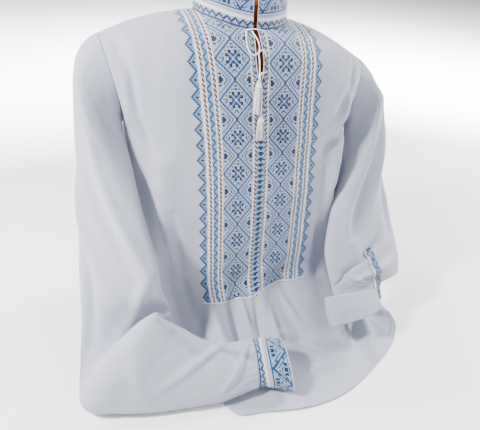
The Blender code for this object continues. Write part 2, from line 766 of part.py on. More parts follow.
def main():
    for thing in list(bpy.data.objects):
        bpy.data.objects.remove(thing, do_unlink=True)
    linen = surface("linen", (0.78, 0.79, 0.86), 0.85, 0.3)
    form_skin = surface("form_skin", (0.35, 0.08, 0.02), 0.35)
    dress_form(form_skin)
    body_panel("front", -1, linen)
    body_panel("back", 1, linen)
    sleeve_right_end = CUFF_RIGHT_START - CUFF_RIGHT_GAP
    sleeve("sleeve_right", SLEEVE_RIGHT, -1, sleeve_right_end, SLEEVE_RIGHT_ROWS, linen)
    sleeve("sleeve_left", SLEEVE_LEFT, 1, SLEEVE_LEFT_END, SLEEVE_LEFT_ROWS, linen)
    cuff("cuff_right", SLEEVE_RIGHT, -1, CUFF_RIGHT_START, CUFF_RIGHT_END, linen)
    cuff("cuff_left", CUFF_LEFT, 1, 0, CUFF_LEFT_END, linen)
    collar(linen)
    placket(linen)
    cord("tie_loop", TIE_LOOP, linen)
    cord("tie_upper", TIE_UPPER, linen)
    cord("tie_lower", TIE_LOWER, linen)
    tassel("tassel_1", *TASSEL_1, linen)
    tassel("tassel_2", *TASSEL_2, linen)


main()
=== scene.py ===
"""Looks for the embroidered linen shirt on its dress form.

The cloth repeats the part's own sections at stitch size, with finer folds. The openwork in the
bib is cut through. The embroidery is charted by rule, one face a stitch.
"""

import math

import bpy
import numpy as np
from mathutils import Matrix

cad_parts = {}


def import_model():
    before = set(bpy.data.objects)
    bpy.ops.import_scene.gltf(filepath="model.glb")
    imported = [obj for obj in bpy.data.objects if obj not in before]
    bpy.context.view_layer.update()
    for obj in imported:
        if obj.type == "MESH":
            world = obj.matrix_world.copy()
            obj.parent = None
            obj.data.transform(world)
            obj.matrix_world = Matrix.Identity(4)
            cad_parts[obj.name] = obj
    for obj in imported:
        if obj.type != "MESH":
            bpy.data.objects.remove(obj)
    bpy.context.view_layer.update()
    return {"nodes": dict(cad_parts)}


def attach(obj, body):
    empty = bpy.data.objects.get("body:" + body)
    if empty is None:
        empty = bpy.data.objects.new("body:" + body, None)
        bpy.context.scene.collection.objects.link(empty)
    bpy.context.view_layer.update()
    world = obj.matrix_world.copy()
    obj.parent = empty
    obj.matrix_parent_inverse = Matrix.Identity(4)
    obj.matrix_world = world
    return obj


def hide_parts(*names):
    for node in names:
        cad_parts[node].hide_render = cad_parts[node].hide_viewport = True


# Sizes shared with the part
WALL = 0.0015
SEAM_GAP = 0.0003
FLOOR = 0.0003
NECK_HALF_WIDTH = 0.070
NECK_FRONT_DEPTH = 0.070
NECK_BACK_DEPTH = 0.062
NECK_SIDE_Z = 0.502
SHOULDER_CROWN = 0.006
NECK_CROWN = 0.010
NECK_SHARE = 0.27
SHOULDER_TIP = (0.206, 0.005, 0.460)
UNDERARM_Z = 0.345
TILT = 0.080
LEAN = -0.005
TILT_FROM_Z = 0.30
LEFT_DROOP = 0.010
SKIRT_Z = 0.120
SLIT_TOP_Z = 0.494
SLIT_BOTTOM_Z = 0.424
SLIT_HALF_WIDTH = 0.0042
COLLAR_HEIGHT = 0.044
COLLAR_TAPER = 0.03
COLLAR_WALL = 0.0022
ROUNDNESS = 2.5
HALF_GIRTH = 0.24        # metres for one share of a half panel

BODY = (
    (0.120, 0.187, 0.114, 0.104),
    (0.190, 0.186, 0.110, 0.102),
    (0.250, 0.185, 0.107, 0.100),
    (0.300, 0.184, 0.102, 0.098),
    (0.345, 0.184, 0.099, 0.096),
)
FRONT_HEM = (
    (-1.00, -0.186, -0.045),
    (-0.80, -0.172, -0.110),
    (-0.60, -0.142, -0.172),
    (-0.42, -0.100, -0.232),
    (-0.30, -0.082, -0.286),
    (-0.15, -0.036, -0.298),
    (0.05, 0.026, -0.307),
    (0.25, 0.088, -0.300),
    (0.50, 0.168, -0.262),
    (0.75, 0.236, -0.212),
    (0.90, 0.262, -0.172),
    (1.00, 0.262, -0.132),
)
BACK_HEM = (
    (-1.00, -0.222, 0.030),
    (-0.75, -0.220, 0.130),
    (-0.45, -0.150, 0.222),
    (0.00, 0.000, 0.262),
    (0.45, 0.155, 0.226),
    (0.75, 0.240, 0.110),
    (1.00, 0.256, -0.084),
)
# Main folds, as in the part: share and height of both ends, half width, depth
FRONT_FOLDS = (
    (-0.74, 0.33, -0.66, 0.14, 0.026, -0.007),
    (-0.60, 0.30, -0.52, 0.06, 0.020, 0.006),
    (0.72, 0.40, 0.52, 0.20, 0.018, 0.008),
    (0.80, 0.36, 0.72, 0.16, 0.016, -0.009),
    (-0.10, 0.10, -0.12, 0.03, 0.013, -0.007),
    (0.06, 0.11, 0.02, 0.03, 0.013, 0.007),
    (0.20, 0.10, 0.22, 0.03, 0.015, -0.006),
)
BACK_FOLDS = (
    (-0.60, 0.40, -0.50, 0.06, 0.022, 0.008),
    (-0.22, 0.30, -0.20, 0.04, 0.026, -0.007),
    (0.10, 0.34, 0.14, 0.04, 0.024, 0.008),
    (0.48, 0.42, 0.40, 0.06, 0.022, -0.008),
    (0.78, 0.36, 0.74, 0.05, 0.020, 0.009),
)
# Finer creases: distance from the middle and distance below the underarm's
# level of both ends, half width, depth, all in metres
FRONT_CREASES = (
    (0.205, -0.100, 0.120, 0.020, 0.010, -0.0044),
    (0.180, -0.040, 0.116, 0.010, 0.009, 0.0040),
    (0.185, -0.015, 0.122, 0.034, 0.008, -0.0050),
    (0.150, 0.020, 0.126, 0.130, 0.010, 0.0040),
    (0.124, 0.060, 0.122, 0.262, 0.009, -0.0040),
    (0.150, 0.120, 0.140, 0.300, 0.010, 0.0044),
    (-0.212, -0.120, -0.150, 0.060, 0.012, -0.0044),
    (-0.185, -0.060, -0.140, 0.080, 0.010, 0.0036),
    (-0.160, 0.080, -0.115, 0.230, 0.010, 0.0040),
    (-0.128, 0.120, -0.104, 0.300, 0.008, -0.0040),
    (-0.092, 0.292, -0.100, 0.350, 0.012, -0.0060),
    (-0.070, 0.285, -0.052, 0.400, 0.009, 0.0060),
    (-0.040, 0.280, -0.034, 0.400, 0.007, -0.0056),
    (-0.022, 0.278, -0.020, 0.345, 0.006, 0.0054),
    (0.002, 0.276, -0.007, 0.370, 0.006, -0.0056),
    (0.020, 0.300, 0.014, 0.360, 0.006, 0.0040),
    (0.046, 0.278, 0.060, 0.340, 0.007, 0.0036),
    (0.024, 0.338, 0.112, 0.396, 0.006, 0.0050),
    (0.030, 0.352, 0.112, 0.410, 0.006, -0.0050),
    (0.158, 0.330, 0.104, 0.436, 0.008, -0.0080),
    (0.182, 0.340, 0.132, 0.440, 0.009, 0.0056),
    (0.204, 0.370, 0.228, 0.440, 0.006, 0.0050),
    (0.190, 0.390, 0.216, 0.450, 0.006, -0.0044),
    (-0.020, 0.430, 0.090, 0.415, 0.006, 0.0030),
    (-0.120, 0.380, -0.040, 0.440, 0.008, -0.0040),
)
BACK_CREASES = (
    (-0.150, -0.060, -0.120, 0.200, 0.010, 0.0026),
    (-0.090, 0.020, -0.070, 0.300, 0.010, -0.0028),
    (0.030, -0.040, 0.020, 0.260, 0.012, 0.0024),
    (0.090, 0.060, 0.100, 0.330, 0.010, 0.0030),
    (0.160, -0.020, 0.150, 0.260, 0.010, -0.0028),
    (-0.040, 0.200, -0.030, 0.420, 0.009, 0.0036),
    (0.130, 0.240, 0.150, 0.400, 0.009, -0.0036),
)

# Sleeve stations: inner edge, outer edge, bulge to the front, to the back. They are the part's own,
# but for small moves at the right elbow and at the left sleeve's end.
SLEEVE_LEFT = (
    (0.192, -0.052, 0.312, 0.230, 0.000, 0.386, 0.036, 0.030),
    (0.172, -0.084, 0.268, 0.247, -0.010, 0.314, 0.030, 0.024),
    (0.144, -0.104, 0.212, 0.268, -0.024, 0.240, 0.026, 0.022),
    (0.126, -0.124, 0.158, 0.286, -0.048, 0.170, 0.024, 0.020),
    (0.122, -0.146, 0.126, 0.291, -0.090, 0.112, 0.022, 0.018),
    (0.124, -0.158, 0.106, 0.280, -0.130, 0.078, 0.018, 0.013),
    (0.126, -0.166, 0.090, 0.226, -0.156, 0.078, 0.014, 0.009),
    (0.128, -0.1812, 0.073, 0.214, -0.1812, 0.064, 0.012, 0.009),
)
CUFF_LEFT = (
    (0.110, -0.172, 0.084, 0.208, -0.170, 0.080, 0.020, 0.015),
    (0.107, -0.188, 0.066, 0.208, -0.186, 0.062, 0.022, 0.015),
    (0.110, -0.202, 0.046, 0.206, -0.200, 0.046, 0.021, 0.014),
)
SLEEVE_RIGHT = (
    (-0.196, -0.052, 0.320, -0.240, 0.012, 0.376, 0.036, 0.032),
    (-0.181, -0.100, 0.252, -0.252, 0.012, 0.262, 0.028, 0.024),
    (-0.166, -0.138, 0.190, -0.262, -0.024, 0.180, 0.026, 0.022),
    (-0.160, -0.159, 0.141, -0.272, -0.090, 0.112, 0.024, 0.020),
    (-0.149, -0.164, 0.100, -0.284, -0.166, 0.046, -0.002, 0.018),
    (-0.172, -0.186, 0.122, -0.288, -0.226, 0.012, 0.022, 0.012),
    (-0.138, -0.192, 0.094, -0.244, -0.248, 0.008, 0.023, 0.010),
    (-0.104, -0.200, 0.070, -0.176, -0.262, 0.008, 0.021, 0.010),
    (-0.066, -0.204, 0.058, -0.098, -0.270, 0.010, 0.020, 0.010),
    (-0.030, -0.206, 0.058, -0.036, -0.264, 0.014, 0.019, 0.012),
    (-0.008, -0.210, 0.059, -0.012, -0.274, 0.016, 0.021, 0.013),
    (0.015, -0.216, 0.056, 0.011, -0.286, 0.015, 0.021, 0.013),
)
CUFF_RIGHT_START = 9
CUFF_RIGHT_GAP = 0.03
ARMHOLE_TURN = 0.75
# The strip on the left sleeve: station, turn of both edges
PLACKET = (
    (3.8, 0.246, 0.269),
    (4.5, 0.240, 0.263),
    (5.0, 0.227, 0.254),
    (5.5, 0.181, 0.225),
    (6.0, 0.064, 0.165),
    (6.5, 0.045, 0.140),
    (6.9, 0.040, 0.131),
)
# Loops between the armhole and the first station, and what the creases' depths are multiplied by
CAP_STEPS = 22
SLEEVE_CREASE_SCALE = 2.4
BODY_CREASE_SCALE = 2.1
# Creases of a sleeve: station and turn of both ends, half width in metres, depth
CREASES_RIGHT = (
    (0.2, 0.30, 2.4, 0.40, 0.010, 0.0034),
    (0.6, 0.22, 2.8, 0.34, 0.009, -0.0030),
    (1.2, 0.10, 3.2, 0.26, 0.012, 0.0034),
    (2.2, 0.18, 3.8, 0.12, 0.010, -0.0034),
    (2.6, 0.42, 3.9, 0.24, 0.008, 0.0034),
    (5.2, 0.30, 6.4, 0.16, 0.009, 0.0030),
    (5.4, 0.44, 7.4, 0.30, 0.008, -0.0030),
    (6.6, 0.20, 7.8, 0.42, 0.007, 0.0030),
    (8.0, 0.14, 8.7, 0.38, 0.005, 0.0034),
    (7.2, 0.40, 8.9, 0.26, 0.006, -0.0024),
    (0.4, 0.70, 3.0, 0.66, 0.011, 0.0030),
    (1.0, 0.84, 3.4, 0.86, 0.011, -0.0030),
)
CREASES_LEFT = (
    (0.1, 0.16, 2.6, 0.24, 0.011, 0.0040),
    (0.6, 0.26, 3.0, 0.34, 0.009, -0.0034),
    (1.4, 0.10, 3.6, 0.14, 0.010, -0.0030),
    (2.0, 0.40, 4.2, 0.30, 0.009, 0.0034),
    (3.4, 0.20, 4.6, 0.36, 0.008, -0.0036),
    (4.2, 0.12, 5.2, 0.30, 0.008, 0.0034),
    (4.4, 0.36, 5.6, 0.42, 0.007, -0.0030),
    (5.0, 0.34, 6.0, 0.24, 0.006, 0.0028),
    (0.6, 0.66, 3.4, 0.70, 0.011, 0.0030),
    (1.6, 0.82, 4.6, 0.80, 0.010, -0.0030),
)

# The tie cords' routes and the tassels, as in the part
CORD_DIAMETER = 0.0016
TIE_LOOP = (
    (0.00650, -0.06693, 0.48906),
    (0.00000, -0.06782, 0.49067),
    (-0.01000, -0.06781, 0.49147),
    (-0.01750, -0.06778, 0.49070),
    (-0.02150, -0.07701, 0.48156),
    (-0.02050, -0.08556, 0.46856),
    (-0.01650, -0.08841, 0.46206),
    (-0.01000, -0.08836, 0.46206),
    (-0.00500, -0.08627, 0.46713),
    (-0.00460, -0.08134, 0.47563),
    (-0.00850, -0.07406, 0.48463),
    (-0.01160, -0.06902, 0.48906),
)
TIE_UPPER = (
    (0.00460, -0.08828, 0.46049),
    (-0.00050, -0.08828, 0.46790),
    (-0.00620, -0.09015, 0.46557),
    (-0.00660, -0.09402, 0.45457),
    (-0.00720, -0.09879, 0.44224),
    (-0.00850, -0.10253, 0.43097),
)
TIE_LOWER = (
    (0.00400, -0.09390, 0.43899),
    (-0.00300, -0.09577, 0.43855),
    (-0.00460, -0.09559, 0.43063),
    (-0.00360, -0.09715, 0.41570),
    (-0.00300, -0.09868, 0.39280),
    (-0.00200, -0.10395, 0.38145),
)
# Tassels: top, neck and lower end
TASSEL_1 = ((-0.0085, -0.10258, 0.43048), (-0.0085, -0.10339, 0.42148), (-0.0085, -0.10538, 0.38347))
TASSEL_2 = ((-0.0020, -0.10398, 0.38095), (-0.0020, -0.10442, 0.37195), (-0.0020, -0.10616, 0.34495))
TASSEL_NECK = (0.0050, 0.0027)
TASSEL_SPREAD = 1.45
TASSEL_STRANDS = 96

# The bib: rows of stitches down the front, and columns to each side of the middle
STITCH_WIDTH = 0.0018
STITCH_HEIGHT = 0.002275
BIB_COLUMNS = 51
BIB_END = 0.271          # both ends in metres below the underarm's level
BIB_TOP = -0.2265
SIDE_COLUMNS = 34
SKIRT_ROWS = 46
# The gaps of the openwork: part of a stitch's height, by turns higher and lower
HOLE_ROWS = ((0.14, 0.80), (0.20, 0.86))
EDGE_RADIUS = 0.0007
# Edges and middle of the bib, in metres from the front's middle, by distance down the front
BIB_PLACE = (
    (-0.215, -0.108, 0.000, 0.112),
    (-0.150, -0.107, 0.000, 0.112),
    (-0.066, -0.103, 0.001, 0.106),
    (0.010, -0.098, 0.003, 0.105),
    (0.100, -0.092, 0.004, 0.103),
    (0.190, -0.089, 0.004, 0.101),
    (0.250, -0.086, 0.003, 0.097),
    (0.280, -0.081, 0.003, 0.094),
)

# Stitches of one petal of the stars: places along and across from the star's middle
PETAL = ((1.5, 0.5), (2.5, 0.5), (2.5, 1.5), (3.5, 1.5), (3.5, 2.5), (4.5, 1.5), (4.5, 2.5))
# How much lower the pattern lies in each half, by distance down the front
BIB_SLANT = (
    (-0.180, -0.0015, 0.0040),
    (-0.100, -0.0015, 0.0060),
    (-0.030, 0.0000, 0.0030),
    (0.040, 0.0000, -0.0010),
    (0.140, 0.0030, -0.0060),
    (0.200, 0.0060, -0.0080),
    (0.275, 0.0095, -0.0095),
)

# The photograph's view
CAMERA_TURNS = (-20, 29.5, 3.5)      # yaw, pitch and roll in degrees
CAMERA_AWAY = 0.790
CAMERA_SHIFT = 0.013
CAMERA_HEIGHT = 0.606
CAMERA_LENS = 37.5
# Lamps: name, place, aim, size, power. The far ones turn away from the shirt, to the floor.
LAMPS = (
    ("key", (-1.10, -0.30, 1.15), (0, 0, 0.35), 0.25, 62),
    ("fill", (0.7, -1.1, 1.2), (0, 0, 0.42), 0.7, 14),
    ("left", (-2.4, 1.5, 1.5), (-0.9, 0.8, 0), 1.2, 130),
    ("right", (2.4, 0.6, 1.5), (0.9, 0.2, 0), 1.2, 200),
    ("far_left", (-0.2, 1.3, 1.3), (-0.2, 3.8, 0), 1.4, 300),
    ("far_right", (1.3, 1.1, 1.3), (3.0, 3.2, 0), 1.4, 380),
)
KEY_COLOUR = (1.0, 0.990, 0.975)
SKY_COLOUR = (0.96, 0.975, 1.0, 1)
SKY_STRENGTH = 0.48
FLOOR_REACH = 14

# Colours of the threads, linear, and a painted shade for the openwork's cells
PALETTE = {
    "cloth": (0.370, 0.390, 0.475),
    "white": (0.640, 0.650, 0.690),
    "dark": (0.002, 0.010, 0.055),
    "mid": (0.004, 0.038, 0.140),
    "light": (0.018, 0.095, 0.240),
    "pale": (0.110, 0.240, 0.420),
    "grey": (0.110, 0.150, 0.270),
    "wash": (0.210, 0.310, 0.450),
    # Painted shade: dark red-brown for the openwork's cells, standing in for threads and form in shadow
    # behind the holes
    "openwork_painted_shade": (0.060, 0.020, 0.020),
}
LINEN_DARK = (0.315, 0.338, 0.430)
LINEN_LIGHT = (0.395, 0.412, 0.500)
COLOURS = list(PALETTE)
CLOTH, WHITE, DARK, MID, LIGHT, PALE, GREY, WASH, OPENWORK_PAINTED_SHADE = range(9)


def hermite(p0, m0, p1, m1, t):
    """A point on the cubic with these ends and end tangents."""
    t2 = t * t
    t3 = t2 * t
    return ((2 * t3 - 3 * t2 + 1) * p0 + (t3 - 2 * t2 + t) * m0
            + (3 * t2 - 2 * t3) * p1 + (t3 - t2) * m1)


def ease(t):
    """0 to 1 with flat ends."""
    t = np.clip(t, 0.0, 1.0)
    return t * t * (3 - 2 * t)


def unit(v):
    return v / np.maximum(np.linalg.norm(v, axis=-1, keepdims=True), 1e-12)


def rows_at(table, x):
    """Read rows from a table by its first column, on a smooth curve."""
    rows = np.array(table, float)
    keys = rows[:, 0]
    x = np.clip(np.asarray(x, float), keys[0], keys[-1])
    i = np.clip(np.searchsorted(keys, x, side="right") - 1, 0, len(keys) - 2)
    slopes = np.gradient(rows[:, 1:], keys, axis=0)
    step = (keys[i + 1] - keys[i])[..., None]
    t = (x - keys[i])[..., None] / step
    return hermite(rows[i, 1:], slopes[i] * step, rows[i + 1, 1:], slopes[i + 1] * step, t)


def quarter_arcs():
    """Front and back quarter sections of the body at many heights, by share of their length."""
    heights = np.linspace(SKIRT_Z, UNDERARM_Z, 46)
    shares = np.linspace(0, 1, 129)
    turn = np.linspace(0, math.pi / 2, 200)
    out = {}
    for side in (-1, 1):
        grid = np.zeros((len(heights), len(shares), 2))
        for i, (width, front, back) in enumerate(rows_at(BODY, heights)):
            x = width * np.sin(turn) ** (2 / ROUNDNESS)
            y = (front if side < 0 else back) * np.cos(turn) ** (2 / ROUNDNESS)
            run = np.concatenate(([0], np.cumsum(np.hypot(np.diff(x), np.diff(y)))))
            run = run / run[-1]
            grid[i, :, 0] = np.interp(shares, run, x)
            grid[i, :, 1] = np.interp(shares, run, y)
        out[side] = grid
    return out


ARCS = quarter_arcs()


def ring_points(z, share, side):
    """Points of the body's sections; side is -1 for the front, 1 for the back."""
    grid = ARCS[side]
    a = (z - SKIRT_Z) / (UNDERARM_Z - SKIRT_Z) * (grid.shape[0] - 1)
    b = np.abs(share) * (grid.shape[1] - 1)
    i = np.clip(a.astype(int), 0, grid.shape[0] - 2)
    j = np.clip(b.astype(int), 0, grid.shape[1] - 2)
    fa = (a - i)[..., None]
    fb = (b - j)[..., None]
    xy = ((grid[i, j] * (1 - fb) + grid[i, j + 1] * fb) * (1 - fa)
          + (grid[i + 1, j] * (1 - fb) + grid[i + 1, j + 1] * fb) * fa)
    return np.stack((np.sign(share) * xy[..., 0], side * xy[..., 1], z), axis=-1)


def tilted(p):
    """The shoulders' slope to one side, which fades out down the body."""
    share = ease((p[..., 2] - TILT_FROM_Z) / (NECK_SIDE_Z - TILT_FROM_Z))
    reach = (p[..., 0] - NECK_HALF_WIDTH) / (SHOULDER_TIP[0] - NECK_HALF_WIDTH)
    droop = LEFT_DROOP * np.clip(reach, 0, 1) ** 2
    return np.stack((p[..., 0] + LEAN * share, p[..., 1],
                     p[..., 2] - (TILT * p[..., 0] + droop) * share), axis=-1)


def shoulder_points(share):
    """The shoulder seams, and the hump between them that the neckline cuts away."""
    s = np.abs(share)
    inward = s / NECK_SHARE
    t = (s - NECK_SHARE) / (1 - NECK_SHARE)
    inner = s <= NECK_SHARE
    x = np.where(inner, NECK_HALF_WIDTH * inward,
                 NECK_HALF_WIDTH + (SHOULDER_TIP[0] - NECK_HALF_WIDTH) * t)
    seam = NECK_SIDE_Z + (SHOULDER_TIP[2] - NECK_SIDE_Z) * t + SHOULDER_CROWN * np.sin(math.pi * t)
    z = np.where(inner, NECK_SIDE_Z + NECK_CROWN * (1 - inward * inward), seam)
    return np.stack((np.sign(share) * x, np.full_like(x, SHOULDER_TIP[1]), z), axis=-1)


def top_part(share, level, side):
    """The cloth from the shoulders or neckline down to the underarm's level."""
    start = shoulder_points(share)
    end = ring_points(np.full_like(share, UNDERARM_Z), share, side)
    reach = np.linalg.norm(end - start, axis=-1, keepdims=True)
    arm = ease((np.abs(share) - 0.66) / 0.34)[..., None]
    zero = np.zeros_like(arm)
    out = unit(np.concatenate((zero, zero + side, zero - 0.12), axis=-1))
    down = unit(np.concatenate((zero, side * (0.08 - 0.70 * arm), 0.45 * arm - 1), axis=-1))
    m0 = out * reach * (1.75 - 0.35 * arm)
    m1 = down * reach * (1.55 - 0.15 * arm)
    depth = NECK_FRONT_DEPTH if side < 0 else NECK_BACK_DEPTH
    inside = np.clip(1 - (share / NECK_SHARE) ** 2, 0, None)
    edge = depth * np.sqrt(inside) + side * SHOULDER_TIP[1]
    low, high = np.zeros_like(share), np.full_like(share, 0.6)
    for _ in range(22):
        t = (low + high) / 2
        before = side * hermite(start, m0, end, m1, t[..., None])[..., 1] < edge
        low, high = np.where(before, t, low), np.where(before, high, t)
    cut = np.where(np.abs(share) >= NECK_SHARE, 0.0, low)
    t = (cut + (1 - cut) * np.clip(level, 0, 1))[..., None]
    return tilted(hermite(start, m0, end, m1, t))


def skirt_part(share, level, side):
    """The cloth from the skirt's start down to the hem on the table."""
    start = ring_points(np.full_like(share, SKIRT_Z), share, side)
    xy = rows_at(FRONT_HEM if side < 0 else BACK_HEM, share)
    end = np.concatenate((xy, np.full_like(xy[..., :1], FLOOR + WALL)), axis=-1)
    out = (end - start) * (1, 1, 0)
    reach = np.linalg.norm(out, axis=-1, keepdims=True)
    m0 = np.array((0, 0, -1.0)) * (SKIRT_Z + 0.4 * reach)
    return hermite(start, m0, end, out * 1.5, np.clip(level - 2, 0, 1)[..., None])


def cloth_points(share, level, side):
    """Smooth body cloth. Level 0 is the top edge, 1 the underarm, 2 the skirt's start, 3 the hem."""
    share, level = np.broadcast_arrays(np.asarray(share, float), np.asarray(level, float))
    z = UNDERARM_Z + (SKIRT_Z - UNDERARM_Z) * np.clip(level - 1, 0, 1)
    middle = tilted(ring_points(z, share, side))
    top = top_part(share, level, side)
    skirt = skirt_part(share, level, side)
    level = level[..., None]
    return np.where(level <= 1, top, np.where(level <= 2, middle, skirt))


def ridge_sum(table, a, b):
    """Sum of soft ridges and troughs; the table gives both ends, half width and depth."""
    total = np.zeros_like(a)
    for a0, b0, a1, b1, half_width, depth in table:
        da, db = a1 - a0, b1 - b0
        t = np.clip(((a - a0) * da + (b - b0) * db) / (da * da + db * db), 0, 1)
        away = np.hypot(a - a0 - da * t, b - b0 - db * t) / half_width
        fade = 0.35 + 0.65 * np.sin(math.pi * np.clip(t, 0.04, 0.96))
        total += depth * fade * np.exp(-away * away)
    return total


def main_folds(table, share, z):
    """The part's own folds."""
    total = np.zeros_like(z)
    for s0, z0, s1, z1, half_width, depth in table:
        x0, x1 = s0 * HALF_GIRTH, s1 * HALF_GIRTH
        dx, dz = x1 - x0, z1 - z0
        t = np.clip(((share * HALF_GIRTH - x0) * dx + (z - z0) * dz) / (dx * dx + dz * dz), 0, 1)
        away = np.hypot(share * HALF_GIRTH - x0 - dx * t, z - z0 - dz * t) / half_width
        total += depth * np.exp(-away * away)
    return total


def body_normals(share, level, side):
    d = 0.02
    along = (cloth_points(share, np.minimum(level + d, 3), side)
             - cloth_points(share, np.maximum(level - d, 0), side))
    across = (cloth_points(np.minimum(share + d, 1), level, side)
              - cloth_points(np.maximum(share - d, -1), level, side))
    return unit(np.cross(across, along)) * side


def body_points(share, level, side):
    """Body cloth with the part's folds."""
    share, level = np.broadcast_arrays(np.asarray(share, float), np.asarray(level, float))
    p = cloth_points(share, level, side)
    edge = ease((1 - np.abs(share)) / 0.15) * ease(level / 0.35)
    folds = main_folds(FRONT_FOLDS if side < 0 else BACK_FOLDS, share, p[..., 2])
    p = p + body_normals(share, level, side) * (folds * edge)[..., None]
    p[..., 1] += side * SEAM_GAP / 2
    p[..., 2] = np.maximum(p[..., 2], FLOOR + WALL)
    return p


class Panel:
    """Lengths down the columns of the front or of the back."""

    def __init__(self, side):
        self.side = side
        self.shares = np.linspace(-1, 1, 161)
        self.levels = np.linspace(0, 3, 301)
        p = body_points(self.shares[:, None], self.levels[None, :], side)
        step = np.linalg.norm(np.diff(p, axis=1), axis=2)
        run = np.concatenate((np.zeros((len(p), 1)), np.cumsum(step, axis=1)), axis=1)
        underarm = np.argmin(np.abs(self.levels - 1))
        self.arcs = run - run[:, underarm:underarm + 1]

    def column(self, share):
        """Length below the underarm's level at every level of a column."""
        a = (share + 1) / 2 * (len(self.shares) - 1)
        i = min(int(a), len(self.shares) - 2)
        return self.arcs[i] * (1 - (a - i)) + self.arcs[i + 1] * (a - i)

    def ends(self, shares):
        columns = np.array([self.column(s) for s in shares])
        return columns[:, 0], columns[:, -1]

    def level(self, share, down):
        """The level at a length below the underarm's level."""
        return np.interp(down, self.column(share), self.levels)


def creased(p, share, level, down, side):
    """Finer folds and a slight unevenness on top of the part's cloth."""
    middle = share * HALF_GIRTH
    table = FRONT_CREASES if side < 0 else BACK_CREASES
    depth = ridge_sum(table, middle, down) * BODY_CREASE_SCALE
    depth += 0.0007 * np.sin(middle * 61 + down * 23 + 0.7) * np.sin(down * 37 - middle * 19)
    depth += 0.0004 * np.sin(middle * 151 - down * 67) * np.sin(down * 93 + middle * 43 + 1.1)
    edge = ease((1 - np.abs(share)) / 0.10) * ease(level / 0.25)
    slit = 1 - np.exp(-(middle / 0.012) ** 2) * (level < 0.9)
    p = p + body_normals(share, level, side) * (depth * edge * slit)[..., None]
    p[..., 2] = np.maximum(p[..., 2], FLOOR + WALL)
    return p


def bib_chart(column, row):
    """Colour of each stitch of the bib. Columns count from the middle, rows from its lower edge."""
    c = np.where(column >= 0, column, -column - 1)
    checker = (c + row) % 2 == 0
    out = np.full(c.shape, CLOTH)

    def paint(mask, colour):
        out[mask] = colour

    paint(c <= 2, WASH)
    paint((c == 0) & (row % 4 != 2), DARK)
    paint((c == 1) & (row % 4 <= 1), MID)
    paint((c == 2) & (row % 4 == 0), MID)
    paint((c >= 3) & (c <= 5), WHITE)

    diamonds = (c >= 6) & (c <= 29)
    a = np.abs(c - 17.5)
    b = np.abs((row + 12) % 24 - 11.5)
    ring = a + b
    paint(diamonds, WASH)
    paint(diamonds & (ring <= 7) & checker, CLOTH)
    paint(diamonds & (ring == 9) & (row % 2 == 0), MID)
    paint(diamonds & (ring == 10), CLOTH)
    paint(diamonds & (ring == 11), LIGHT)
    paint(diamonds & (ring == 12), MID)
    paint(diamonds & (ring == 12) & (row % 3 == 0), DARK)
    paint(diamonds & (ring == 13), CLOTH)
    from_corner = 24 - ring
    paint(diamonds & (from_corner == 10) & (row % 2 == 0), PALE)
    paint(diamonds & (from_corner == 9), LIGHT)
    paint(diamonds & (from_corner == 8), CLOTH)
    paint(diamonds & (from_corner <= 7) & checker, CLOTH)
    corner_a = (12 - a).astype(int)
    corner_b = (12 - b).astype(int)
    for ca, cb in ((1, 0), (2, 0), (1, 1), (2, 1), (3, 0), (1, 3), (2, 3), (4, 2), (5, 1), (6, 0)):
        paint(diamonds & (corner_a == ca) & (corner_b == cb), DARK)
    for p, q in ((a, b), (b, a)):
        for along, across in PETAL:
            paint(diamonds & (q == along) & (p == across), MID if along < 3 else DARK)
        paint(diamonds & (p == 0.5) & (q == 6.5), DARK)

    paint((c >= 30) & (c <= 33), WHITE)
    zigzag = np.abs(row % 6 - 3) + 34
    thin = (c >= 34) & (c <= 37)
    paint(thin, WASH)
    paint(thin & (c == zigzag), MID)
    paint(thin & (c == zigzag + 1), LIGHT)
    paint((c >= 38) & (c <= 42), WHITE)
    tooth = np.abs(row % 10 - 5)
    paint((c >= 43) & (c <= 48 - tooth) & checker, WASH)
    paint((c >= 43) & (c == 46 - tooth), LIGHT)
    paint((c >= 43) & (c <= 49 - tooth) & (c >= 48 - tooth), MID)
    paint((c >= 44) & (c <= 45) & (tooth == 0), DARK)
    paint(row == 0, WHITE)
    paint((row == 0) & (c % 2 == 0), MID)
    paint(row == 1, WHITE)
    return out


def bib_holes(column, row):
    """Openwork: 1 or 2 where threads are pulled apart, with a white bar at every third row. These cells
    are painted a dark shade.
    """
    c = np.where(column >= 0, column, -column - 1)
    first = (c == 3) | (c == 31) | (c == 39)
    second = (c == 4) | (c == 32) | (c == 40)
    openwork_painted_shade = first * (row % 3 != 0) + second * (row % 3 != 1) * 2
    return np.where(row >= 2, openwork_painted_shade, 0)


def zigzag_line(a, r, start, rise, period):
    """How far a place is from a zigzag line across a band."""
    fold = np.abs((a + period / 2) % period - period / 2) / (period / 2)
    return np.abs(r - start - rise * fold)


